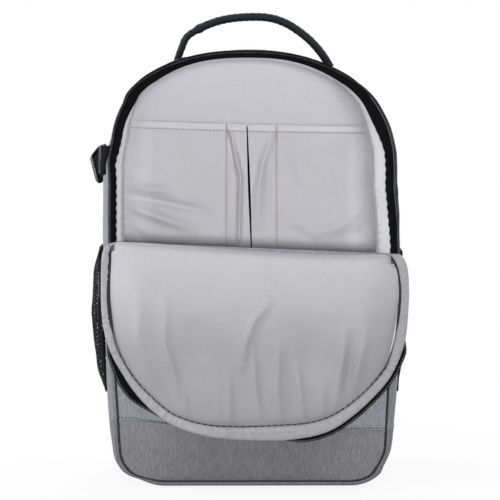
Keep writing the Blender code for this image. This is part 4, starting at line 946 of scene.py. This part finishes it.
def make_flap():
    """The hanging flap, its fold, binding, stitches, outer cloth, foam and half of the zip.

    The lining is a patch inside the crease: a crown that levels off exponentially from it, a belly of smooth
    steps, and folds. The roll above it and the fold strip are quarters of a superellipse, and the binding is a
    superellipse section whose depth gathers in sines along the edge.
    """
    edge = spread(FLAP_CREASE, 420)
    rows, columns = 140, 200
    patch = coons(edge, 0.30, rows, columns)
    distance = to_edge(patch, edge)
    top_share = np.linspace(0, 1, rows)[:, None]
    x, z = patch[..., 0], patch[..., 1]
    z = z + (crest(x) - 0.0075 - z) * (1 - top_share) ** 3
    place = level(x, z)
    crown = 0.0085 * (1 - np.exp(-distance / 0.0080))
    belly = (0.0105 * smooth((crest(x) - z) / 0.060) * (1 - 0.85 * smooth((0.180 - z) / 0.115))
             * smooth(distance / 0.035))
    slack = (relief(x, z, FLAP_FOLDS) + ripple(place, 0.090, 0.0006, 31)) * smooth(distance / 0.006)
    face = -0.0908 - crown - belly - slack * smooth((crest(x) - z) / 0.030)
    # the roll: a quarter of a superellipse from the middle of the crest down to the face
    steps = 22
    angle = np.linspace(0, math.pi / 2, steps, endpoint=False)[:, None]
    roll_x = np.broadcast_to(x[0], (steps, columns))
    first_y, first_z = face[0], z[0]
    roll_y = -0.0855 + (first_y + 0.0855) * np.sin(angle) ** 0.9
    roll_z = first_z + (crest(x[0]) - first_z) * np.cos(angle) ** 0.9
    front = np.stack([np.vstack([roll_x, x]), np.vstack([roll_y, face]), np.vstack([roll_z, z])], axis=-1)
    rear_y = np.vstack([roll_y + 0.0015 * np.sin(angle) + 0.0002, np.full_like(face, -0.0906)])
    rear = np.stack([front[..., 0], rear_y, np.vstack([roll_z - 0.0022 * np.cos(angle), z])], axis=-1)
    piece = make_piece("flap_lining_pad", None, pillow_body(front, rear), "flap_lining",
                       ["flap_lining", "fold_strip"])
    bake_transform(piece)

    across = np.linspace(edge[0, 0], edge[-1, 0], columns)
    angle = np.linspace(0, math.pi / 2, 26)[:, None]
    z = 0.2235 + (crest(across) - 0.2235) * np.sin(angle) ** 0.55
    y = -0.0768 - 0.0087 * (1 - np.cos(angle)) + 0 * across
    grid = np.stack([np.broadcast_to(across, y.shape), y, z], axis=-1)
    inner = grid + np.stack([np.zeros_like(y), -0.0014 * np.cos(angle) + 0 * y,
                             -0.0014 * np.sin(angle) + 0 * y],
                            axis=-1)
    piece = make_piece("fold_lining", None, pillow_body(grid, inner), "heather", ["fold_hem"])
    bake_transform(piece)

    outer, inner = flap_line(0.0, 1000), spread(FLAP_CREASE, 1000)
    run = runs(outer)
    gather = (np.sin(run * 2 * math.pi / 0.0094 + 2.6 * np.sin(run * 2 * math.pi / 0.043))
              * (0.5 + 0.5 * np.sin(run * 2 * math.pi / 0.087)) + 0.15 * np.sin(run * 2 * math.pi / 0.0053))
    way = inner - outer
    half = np.linalg.norm(way, axis=1) / 2
    way /= 2 * half[:, None]
    line = (outer + inner) / 2
    angle = np.linspace(0, 2 * math.pi, 30, endpoint=False)
    wide = np.sign(np.cos(angle)) * np.abs(np.cos(angle)) ** 0.75
    deep = np.sign(np.sin(angle)) * np.abs(np.sin(angle)) ** 0.75
    near = np.clip(-deep, 0, 1)
    half_wide = half[:, None] + 0.0002 * gather[:, None] * near
    half_deep = 0.0040 + 0.0006 * gather[:, None] * near
    end = smooth((0.012 - np.minimum(run, run[-1] - run)) / 0.012)[:, None]
    rings = np.stack([line[:, :1] + way[:, :1] * wide * half_wide, -0.0886 + 0.0035 * end + deep * half_deep,
                      line[:, 1:] + way[:, 1:] * wide * half_wide - 0.0015 * end], axis=-1)
    binding = make_piece("flap_binding_cloth", "flap", ring_body(rings), "binding",
                         ["flap_binding"])
    # painted shadow: the dark overlock of the seam allowance, widened on the left and up the sides to stand in
    # for the shadow in the crease
    share = run / run[-1]
    crease_shadow_window = smooth((inner[:, 1] - 0.155) / 0.02) * smooth((0.247 - inner[:, 1]) / 0.012)
    seam = 0.0004 + np.where(share < 0.5, 0.0041, 0.0024) * crease_shadow_window
    centres = stand(inner, -0.0917)[::3]
    centres[:, :1] -= way[::3, :1] * 0.0006
    across = stand(way, 0.0)[::3]
    make_piece("flap_seam_overlock_and_painted_shadow", "flap", strap_body(centres, across, seam[::3], 0.0018, 12, 0.8),
               "dark_thread")
    row = stand(inner, -0.0926)[250:800]
    make_piece("flap_seam_stitches", "flap", stitch_body(row, (0, -1, 0), 0.0030, 0.0034, 0.0006),
               "dark_thread")

    patch = coons(flap_line(0.0020, 320), 0.30, 70, 110)
    depth = to_edge(patch, flap_line(0.0020, 320))
    outer_face = np.stack([patch[..., 0], -0.0832 + 0.0016 * (1 - np.exp(-depth / 0.006)), patch[..., 1]],
                          axis=-1)
    inner_face = outer_face.copy()
    inner_face[..., 1] = -0.0846
    make_piece("flap_outer_cloth", "flap", pillow_body(inner_face, outer_face), "heather",
               ["flap_outer_panel"])
    patch = coons(flap_line(0.0110, 320), 0.30, 40, 60)
    near = np.stack([patch[..., 0], np.full(patch.shape[:2], -0.0902), patch[..., 1]], axis=-1)
    foam = make_piece("flap_foam_pad", "flap", pillow_body(near, near + [0, 0.0052, 0]), "foam",
                      ["flap_foam"])
    line = flap_line(0.0, 800)[40:-40]
    outward = flap_line(-0.001, 800)[40:-40] - line
    outward = unit(outward)
    x, z = line.T
    low = smooth((0.157 - z) / 0.02)
    out = -0.0030 + low * (0.0100 * np.exp(-((x + 0.121) / 0.022) ** 2) + 0.0058 * smooth((x - 0.025) / 0.03))
    zip_band("flap", (line - outward * 0.004, line + outward * out[:, None]),
             line + outward * (out + 0.0004)[:, None], -0.0886, "flap", "flap_zip_tape", "flap_zip_coil")
    row = (flap_line(0.0, 900) * 0.45 + spread(FLAP_CREASE, 900) * 0.55)[420:530]
    row = stand(row, -0.0932)
    make_piece("binding_stitches", "flap", stitch_body(row, (0, -1, 0), 0.0028, 0.0016, 0.00035), "thread")


# Handle

HANDLE_LINE = [
    (-0.0768, 0.4224), (-0.0745, 0.4308), (-0.0703, 0.4421), (-0.0669, 0.4499), (-0.0604, 0.4560),
    (-0.0426, 0.4651),
    (-0.0222, 0.4707), (0.0030, 0.4727), (0.0229, 0.4711), (0.0406, 0.4644), (0.0582, 0.4521),
    (0.0696, 0.4407),
    (0.0775, 0.4303), (0.0835, 0.4204),
]


def make_handle():
    """Handle: a strap along a curve, widened by half a sine, with a sine wave for its wraps; and two feet."""
    line = spread(HANDLE_LINE, 260)
    centres = stand(line, HANDLE_DEPTH)
    share = np.linspace(0, 1, len(line))
    lift = np.sin(np.pi * share)
    widths = 0.009 + 0.013 * smooth(lift * 1.9)
    thick = 0.0074 + 0.0010 * smooth((share - 0.21) / 0.012) + 0.0014 * np.exp(-((share - 0.23) / 0.012) ** 2)
    thick = thick + 0.0003 * np.sin(share * 2 * math.pi * 34) * smooth(lift * 3)
    rings = strap_rings(centres, (0, 1, 0), widths, thick, 32, 0.7)
    make_piece("grab_handle_wrap", "handle", ring_body(rings), "wrap", ["grab_handle"])
    for side, name in ((-1, "left"), (1, "right")):
        low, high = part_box("handle_tab_" + name)
        u = np.linspace(low[0], high[0], 30)
        foot = side_line(DOME_BASE, BODY_HEIGHT, 0.0, 1.0, 300)
        order = np.argsort(foot[:, 0])
        height = np.interp(np.abs(u), foot[order, 0], foot[order, 1]) + 0.0005
        centres = np.column_stack([u, np.full(30, HANDLE_DEPTH), height])
        rings = strap_rings(centres, (0, 1, 0), 0.026, 0.0016, 24, 0.35)
        make_piece("handle_tab_cloth_" + name, "root", ring_body(rings), "webbing",
                   ["handle_tab_" + name])


# Side pockets, strap and loop

# Section of the buckle, in x and z: a slanted outer plate, a rounded foot and an upright inner plate.
BUCKLE_SECTION = [
    (-0.1626, 0.3280), (-0.1620, 0.3315), (-0.1586, 0.3362), (-0.1546, 0.3405), (-0.1516, 0.3419),
    (-0.1500, 0.3399),
    (-0.1499, 0.3310), (-0.1502, 0.3171), (-0.1500, 0.3072), (-0.1513, 0.3038), (-0.1540, 0.3027),
    (-0.1566, 0.3042),
    (-0.1585, 0.3102), (-0.1607, 0.3196),
]


def make_buckle():
    """Side-release buckle: plug with a recessed front and three tongues, and a socket with a hollow mouth."""
    section = spread(BUCKLE_SECTION, 72, closed=True)
    middle = section.mean(axis=0)

    def rings(steps):
        """The section scaled about its middle at each depth."""
        return np.stack([np.column_stack([(middle + (section - middle) * scale)[:, 0], np.full(72, y),
                                          (middle + (section - middle) * scale)[:, 1]]) for y,
                         scale in steps])

    make_piece("buckle_plug_body", "buckle_plug", ring_body(rings(
        [(-0.0060, 0.66), (-0.0062, 0.74), (-0.0155, 0.78), (-0.0168, 0.86), (-0.0160, 0.97), (-0.0140, 1.0),
         (-0.0012, 1.0), (-0.0004, 0.96)])), "acetal", ["buckle_plug_left"])
    make_piece("buckle_socket_body", "root", ring_body(rings(
        [(0.0200, 0.62), (0.0195, 0.70), (0.0010, 0.78), (0.0002, 0.86), (0.0004, 0.97), (0.0014, 1.0),
         (0.0240, 1.0), (0.0285, 0.93), (0.0300, 0.80)])), "acetal",
        ["buckle_socket_left"])
    bars = (((-0.1620, 0.3298), (-0.1559, 0.3050), 0.0034), ((-0.1527, 0.3408), (-0.1535, 0.3128), 0.0036))
    for number, (top, foot, thick) in enumerate(bars):
        share = np.linspace(0, 1, 24)
        line = np.column_stack([top[0] + (foot[0] - top[0]) * share, np.full(24, -0.0172),
                                top[1] + (foot[1] - top[1]) * share])
        bar = strap_rings(line, (0, 1, 0), 0.0058, thick * (0.7 + 0.3 * np.sin(np.pi * share) ** 0.3), 20,
                          0.6)
        make_piece(f"buckle_plug_bar_{number + 1}", "buckle_plug", ring_body(bar), "acetal_painted_highlight")
    for number, (height, reach, wide) in enumerate(((0.3313, 0.0175, 0.0040), (0.3220, 0.0190, 0.0050),
                                                    (0.3122, 0.0175, 0.0040))):
        share = np.linspace(0, 1, 20)
        bow = (height - 0.3220) * 0.25 * np.sin(np.pi * share)
        line = np.column_stack([np.full(20, -0.1562), -0.0030 + (reach + 0.0030) * share, height + bow])
        tongue = strap_rings(line, (0, 0, 1), wide * (1 - 0.45 * share ** 3), 0.0030 * (1 - 0.3 * share), 16,
                             0.5)
        make_piece(f"buckle_tongue_{number + 1}", "buckle_plug", ring_body(tongue), "acetal")


def make_sides():
    """Net pockets that bulge by a cosine across and a sine upwards, the side strap, its buckle, the loop."""
    for side, name, bulge in ((-1, "left", 0.0142), (1, "right", 0.0068)):
        z, y = np.meshgrid(np.linspace(NET_LOW, NET_HIGH, 70), np.linspace(-NET_HALF, NET_HALF, 80),
                           indexing="ij")
        base = np.interp(z[:, 0], *side_line(0.09, 0.26, 0.0, 1.0, 200).T[::-1])[:, None]
        share = (z - NET_LOW) / 0.1432
        out = (bulge * np.cos(np.pi / 2 * np.clip(np.abs(y) / NET_HALF, 0, 1)) ** 0.6
               * np.sin(np.pi * np.clip(0.03 + 0.95 * share, 0, 1)) ** 0.5)
        place = np.stack([z, y, z], axis=-1)
        x = base + 0.0006 + out + ripple(place, 0.04, 0.0005, 40)
        outside = np.stack([side * (x + 0.0008), y, z], axis=-1)
        inside = np.stack([side * x, y, z], axis=-1)
        piece = make_piece("side_pocket_net_" + name, "root", pillow_body(outside, inside), "net",
                           ["side_pocket_" + name])
        top = np.column_stack([side * (x[-2] + 0.0010), y[-2], z[-2] - 0.0042])
        rings = strap_rings(top, (0, 0, 1), 0.0090, 0.0022, 20, 0.45)
        make_piece("pocket_band_" + name, "root", ring_body(rings), "webbing",
                   ["pocket_elastic_" + name])
        for part, rim_y in (("front", -NET_HALF), ("rear", NET_HALF)):
            edge = np.column_stack([side * (base[:, 0] + 0.0010), np.full(70, rim_y), z[:, 0]])
            make_piece(f"pocket_edge_{name}_{part}", "root", strap_body(edge, (0, 1, 0), 0.007, 0.0018,
                       16, 0.5), "webbing")
    low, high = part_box("strap_front_left")
    route = spread([(-0.1418, -0.0738, 0.3290), (-0.1462, -0.0690, 0.3285), (-0.1500, -0.0530, 0.3258),
                    (-0.1512, -0.0350, 0.3230), (-0.1526, -0.0150, 0.3210),
                    (-0.1550, high[1], STRAP_HEIGHT)], 70)
    widths = 0.0290
    make_piece("strap_front_left_webbing", "root", strap_body(route, (0, 0, 1), widths, 0.0018, 24, 0.3),
               "webbing", ["strap_front_left"])
    low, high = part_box("strap_rear_left")
    face = high[0] - 0.0008
    route = spread([(face, high[1], STRAP_HEIGHT), (face, high[1] - 0.012, STRAP_HEIGHT),
                    (face, low[1] + 0.010, STRAP_HEIGHT),
                    (face - 0.0008, low[1] + 0.004, STRAP_HEIGHT),
                    (face - 0.0030, low[1] + 0.0012, STRAP_HEIGHT),
                    (low[0] + 0.0004, low[1] + 0.0008, STRAP_HEIGHT)], 60)
    make_piece("strap_rear_left_webbing", "root", strap_body(route, (0, 0, 1), 0.030, 0.0016, 24, 0.3),
               "webbing", ["strap_rear_left"])
    make_buckle()
    low, high = (np.array(corner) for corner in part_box("side_loop_right"))
    high[0] = low[0] + 0.0024
    turn = np.linspace(-math.pi / 2, math.pi / 2, 30)
    reach = (high[0] - low[0]) / 2 - 0.0008
    loop = np.column_stack([low[0] + 0.0008 + reach + reach * np.sin(turn),
                            low[1] + (high[1] - low[1]) * (0.1 + 0.8 * np.cos(turn)),
                            np.full(30, (low[2] + high[2]) / 2)])
    make_piece("side_loop_webbing", "root", strap_body(loop, (0, 0, 1), 0.012, 0.0015, 20, 0.35),
               "webbing", ["side_loop_right"])


# Back, straps and lower webbing

def inflate(shape, limit=0.0022, voxel=0.004):
    """Cloth simulation of a pad: a voxel remesh blown up for 20 frames, each point's move held to a limit."""
    scene = bpy.context.scene
    mesh = bpy.data.meshes.new("pad")
    mesh.from_pydata(np.asarray(shape[0], float).tolist(), [], shape[1])
    pad = bpy.data.objects.new("pad", mesh)
    scene.collection.objects.link(pad)

    def baked():
        """The pad's mesh with its modifiers applied, after which they are taken off."""
        done = bpy.data.meshes.new_from_object(pad.evaluated_get(bpy.context.evaluated_depsgraph_get()))
        pad.modifiers.clear()
        return done

    def places(of):
        """A mesh's points."""
        found = np.empty(len(of.vertices) * 3)
        of.vertices.foreach_get("co", found)
        return found.reshape(-1, 3)

    remesh = pad.modifiers.new("remesh", "REMESH")
    remesh.mode, remesh.voxel_size = "VOXEL", voxel
    pad.data = baked()
    before = places(pad.data)
    cloth = pad.modifiers.new("cloth", "CLOTH")
    cloth.settings.use_pressure = True
    cloth.settings.uniform_pressure_force = 4.0
    cloth.settings.effector_weights.gravity = 0.0
    cloth.point_cache.frame_start, cloth.point_cache.frame_end = 1, 20
    for frame_number in range(1, 21):
        scene.frame_set(frame_number)
    move = places(baked()) - before
    length = np.linalg.norm(move, axis=1)[:, None]
    move *= np.minimum(1, limit / np.maximum(length, 1e-9))
    pad.data.vertices.foreach_set("co", (before + move).ravel())
    pad.modifiers.new("subdivision", "SUBSURF").levels = 1
    done = baked()
    bpy.data.objects.remove(pad)
    scene.frame_set(1)
    return places(done), [list(face.vertices) for face in done.polygons]


def rounded(low, high, radius, count=220):
    """Rectangle with quarter-circle corners, as an evenly spaced closed outline."""
    turn = np.linspace(-math.pi / 2, 0, 10)
    arc = np.column_stack([np.cos(turn), np.sin(turn)]) * radius
    spin = np.array([[0, 1], [-1, 0]])
    corners = ((high[0] - radius, low[1] + radius), (high[0] - radius, high[1] - radius),
               (low[0] + radius, high[1] - radius), (low[0] + radius, low[1] + radius))
    parts = []
    for corner in corners:
        parts.append(arc + corner)
        arc = arc @ spin
    line = np.vstack(parts + [parts[0][:1]])
    run = runs(line)
    where = np.linspace(0, run[-1], count, endpoint=False)
    return read(where, run, line)


def make_back():
    """Back panel, cushions with bell-shaped channels pressed in, and the yoke of the straps."""
    outline = region(BOTTOM, BODY_HEIGHT, 0.0113, 150)
    make_piece("back_cloth", "root",
               disc_body(outline, flat_at(0.0710),
                         lambda x, z, s: 0.0750 + 0.0003 * (1 - s ** 8), 40), "back",
               ["back_panel"])
    pads = [("back_pad_left", 0.024, 0.0095), ("back_pad_right", 0.024, 0.0095),
            ("lumbar_pad", 0.024, 0.0115)]
    for seed, (node, radius, thick) in enumerate(pads):
        low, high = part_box(node)
        outline = rounded((low[0] + 0.0015, low[2] + 0.0015), (high[0] - 0.0015, high[2] - 0.0015), radius)
        middle_z = (low[2] + high[2]) / 2
        span = (high[2] - low[2]) / 2

        def crown(x, z, share):
            """Depth of a cushion: a root of one less the fifth power of the share."""
            return REAR_FACE + (thick * 0.85 * (1 - share ** 5) ** 0.5).clip(0.0004)

        points, faces = inflate(disc_body(outline, flat_at(REAR_FACE), crown, 60))
        depth = np.clip((points[:, 1] - REAR_FACE) / thick, 0, 1)
        channel = sum(0.0034 * np.exp(-((points[:, 2] - middle_z - k * span * 0.34) / 0.0040) ** 2)
                      for k in ((-2, 0, 2) if node != "lumbar_pad" else (0,)))
        points[:, 1] = np.maximum(points[:, 1] - channel * depth, REAR_FACE)
        piece = make_piece(node + "_cushion", "root", (points, faces), "air_mesh", [node])
    low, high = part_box("strap_yoke")
    outline = rounded((low[0], low[2]), (high[0], high[2]), 0.008)
    make_piece("strap_yoke_cloth", "root",
               disc_body(outline, flat_at(REAR_FACE),
                         lambda x, z, s: REAR_FACE + 0.0050 * (1 - s ** 7) ** 0.5, 40), "base",
               ["strap_yoke"])
    row = rounded((low[0] + 0.004, low[2] + 0.004), (high[0] - 0.004, high[2] - 0.004), 0.006, 160)
    row = stand(row, high[1] + 0.0001)
    make_piece("strap_yoke_stitches", "root", stitch_body(row, (0, 1, 0)), "dark_thread")


def make_straps():
    """Shoulder straps, which stand off by a sine along their length, their edges, anchors and webbings."""
    for side, name in ((-1, "left"), (1, "right")):
        share = np.linspace(0, 1, 120)
        x = side * (0.052 + 0.046 * smooth(share))
        y = 0.0851 + 0.009 * smooth(share * 3) + 0.022 * np.sin(np.pi * share ** 0.8)
        z = 0.3890 - 0.2435 * share
        widths = 0.058 * (1 - 0.34 * smooth((share - 0.78) / 0.22))
        widths = widths * (1 - 0.05 * smooth((0.04 - share) / 0.04))
        thick = 0.009 * (1 - 0.55 * smooth((0.03 - share) / 0.03)) * (1 - 0.5 * smooth((share - 0.97) / 0.03))
        centres = np.column_stack([x, y, z])
        rings = strap_rings(centres, (1, 0, 0), widths, thick, 40, 0.42)
        body = "strap_" + name
        piece = make_piece(f"shoulder_strap_{name}_pad", body, ring_body(rings), "air_mesh",
                           ["shoulder_strap_" + name])
        for edge, sign in (("inner", -1), ("outer", 1)):
            line = centres + np.column_stack([sign * (widths / 2 - 0.0012), np.zeros(120), np.zeros(120)])
            tube = strap_rings(line, (1, 0, 0), 0.0050, thick * 0.8, 16, 0.8)
            make_piece(f"strap_binding_{name}_{edge}", body, ring_body(tube), "webbing")
        middle = centres[8:96] + [0, 0.0054, 0]
        make_piece(f"strap_tape_{name}", body, strap_body(middle, (1, 0, 0), 0.022, 0.0016, 20, 0.3),
                   "webbing")
        low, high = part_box("lower_anchor_" + name)
        outline = rounded((low[0], low[2]), (high[0], high[2]), 0.003, 120)
        make_piece(f"lower_anchor_{name}_cloth", "root",
                   disc_body(outline, flat_at(REAR_FACE),
                             lambda px, pz, s: REAR_FACE + 0.0022 * (1 - s ** 9) ** 0.5, 16), "webbing",
                   ["lower_anchor_" + name])
        low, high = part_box("lower_webbing_" + name)
        lock_low, lock_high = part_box("ladder_lock_" + name)
        lock_x, lock_y = (lock_low[0] + lock_high[0]) / 2, (lock_low[1] + lock_high[1]) / 2
        t = np.linspace(0, 1, 60)
        path = np.column_stack([side * 0.100 + (lock_x - side * 0.100) * t,
                                0.0794 + (lock_y - 0.0794) * smooth(t),
                                low[2] + 0.0006 + (high[2] - low[2] - 0.0008) * t])
        piece = make_piece(f"lower_webbing_{name}_strap", None,
                           strap_body(path, (1, 0, 0), 0.025, 0.0016 + 0.0012 * (1 - t) ** 2, 24, 0.3),
                           "webbing", ["lower_webbing_" + name])
        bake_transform(piece)


# Inside: floor pad and dividers

def make_inside():
    """Floor pad and dividers: boxes from the frame, thinned to a quarter at their edges by ninth powers."""
    pieces = (("floor_pad", "root"), ("divider_left", "divider_left_body"),
              ("divider_right", "divider_right_body"),
              ("divider_cross", "divider_cross_body"))
    for node, body in pieces:
        low, high = (np.array(corner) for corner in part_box(node))
        if body != "root":
            high[1] = min(high[1], 0.0528)
        centre, half = (low + high) / 2, (high - low) / 2
        thin = int(np.argmin(half))
        first, second = [axis for axis in range(3) if axis != thin]
        u, v = np.meshgrid(np.linspace(-1, 1, 50), np.linspace(-1, 1, 60), indexing="ij")
        crown = ((1 - np.abs(u) ** 9) * (1 - np.abs(v) ** 9)) ** 0.5
        front, back = np.zeros((*u.shape, 3)), np.zeros((*u.shape, 3))
        for grid, sign in ((front, 1), (back, -1)):
            grid[..., first] = centre[first] + half[first] * u
            grid[..., second] = centre[second] + half[second] * v
            grid[..., thin] = centre[thin] + sign * half[thin] * (0.25 + 0.75 * crown)
        piece = make_piece(node + "_cushion", body, pillow_body(front, back), "lining", [node])


# Hardware that keeps its solids

def finish_hardware():
    """Materials for the solids that are shown as they are."""
    named = {"stiffener_board": "board", "zip_slider_left": "zinc", "zip_slider_right": "zinc",
             "zip_pull_left": "zinc", "zip_pull_right": "zinc", "ladder_lock_left": "acetal",
             "ladder_lock_right": "acetal"}
    for node, finish in named.items():
        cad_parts[node].material_slots[0].material = finishes[finish]


# Stage, light and camera

def make_stage():
    """Pale floor, white surroundings, seven area lights and the camera."""
    floor = bpy.data.meshes.new("floor")
    floor.from_pydata([(-40, -40, -0.0002), (40, -40, -0.0002), (40, 90, -0.0002), (-40, 90, -0.0002)], [],
                      [(0, 1, 2, 3)])
    finish = bpy.data.materials.new("pale_floor")
    finish.use_nodes = True
    tree = finish.node_tree
    tree.nodes.clear()
    white = add(tree, "ShaderNodeEmission", {"Color": (1, 1, 1, 1), "Strength": 1.0})
    paint = add(tree, "ShaderNodeBsdfDiffuse", {"Color": (0.92, 0.92, 0.92, 1)})
    dull = add(tree, "ShaderNodeBsdfDiffuse", {"Color": (0.42, 0.42, 0.42, 1)})
    seen = add(tree, "ShaderNodeLightPath")
    place = add(tree, "ShaderNodeTexCoord").outputs["Object"]
    away = add(tree, "ShaderNodeVectorMath", {0: place}, operation="LENGTH").outputs["Value"]
    share = add(tree, "ShaderNodeMapRange", {"Value": away, "From Min": 0.2, "From Max": 0.9, "To Min": 0.88,
                                             "To Max": 1.0}).outputs[0]
    pale = add(tree, "ShaderNodeMixShader", {0: share, 1: paint.outputs[0], 2: white.outputs[0]})
    mixed = add(tree, "ShaderNodeMixShader", {0: seen.outputs["Is Camera Ray"], 1: dull.outputs[0],
                                              2: pale.outputs[0]})
    add(tree, "ShaderNodeOutputMaterial", {"Surface": mixed.outputs[0]})
    floor.materials.append(finish)
    ground = bpy.data.objects.new("floor", floor)
    bpy.context.scene.collection.objects.link(ground)

    world = bpy.data.worlds.new("studio")
    world.use_nodes = True
    tree = world.node_tree
    tree.nodes.clear()
    soft = add(tree, "ShaderNodeBackground", {"Color": (1, 1, 1, 1), "Strength": 0.20})
    plain = add(tree, "ShaderNodeBackground", {"Color": (1, 1, 1, 1), "Strength": 1.0})
    seen = add(tree, "ShaderNodeLightPath")
    first = add(tree, "ShaderNodeMath", {0: seen.outputs["Is Camera Ray"], 1: seen.outputs["Is Glossy Ray"]},
                operation="MAXIMUM")
    either = add(tree, "ShaderNodeMath", {0: first.outputs[0], 1: seen.outputs["Is Transmission Ray"]},
                 operation="MAXIMUM")
    mixed = add(tree, "ShaderNodeMixShader", {0: either.outputs[0], 1: soft.outputs[0], 2: plain.outputs[0]})
    add(tree, "ShaderNodeOutputWorld", {"Surface": mixed.outputs[0]})
    bpy.context.scene.world = world

    lamps = (("front_left", (-0.30, -3.3, 0.36), 0.5, 0.28, 27),
             ("front_right", (0.30, -3.3, 0.36), 0.5, 0.28, 44),
             ("key", (-0.8, -1.3, 2.3), 1.0, 1.0, 9), ("rake", (-2.4, -0.85, 0.6), 0.7, 0.7, 14),
             ("left", (-2.4, 0.3, 1.3), 1.4, 1.4, 40),
             ("right", (2.4, 0.3, 1.3), 1.4, 1.4, 24), ("rear", (0.6, 2.6, 1.4), 1.8, 1.8, 60))
    for name, place, width, height, power in lamps:
        light = bpy.data.lights.new(name, "AREA")
        light.shape, light.size, light.size_y, light.energy = "RECTANGLE", width, height, power
        lamp = bpy.data.objects.new(name, light)
        lamp.location = place
        lamp.rotation_euler = (Vector((0, 0, 0.22)) - Vector(place)).to_track_quat("-Z", "Y").to_euler()
        bpy.context.scene.collection.objects.link(lamp)

    distance, yaw, tilt = 2.1, math.radians(0.5), math.radians(5.0)
    target = Vector((-0.0010, FRONT, 0.2396))
    camera = bpy.data.cameras.new("camera")
    camera.lens = camera.sensor_width * distance / 0.4975
    eye = bpy.data.objects.new("camera", camera)
    eye.location = target + distance * Vector((-math.sin(yaw) * math.cos(tilt),
                                               -math.cos(yaw) * math.cos(tilt),
                                               math.sin(tilt)))
    eye.rotation_euler = (target - eye.location).to_track_quat("-Z", "Y").to_euler()
    bpy.context.scene.collection.objects.link(eye)
    bpy.context.scene.camera = eye
    bpy.context.scene.view_settings.view_transform = "Standard"


make_shell()
make_back_lining()
make_pockets()
make_mouth_zip()
make_flap()
make_handle()
make_sides()
make_back()
make_straps()
make_inside()
finish_hardware()
make_stage()
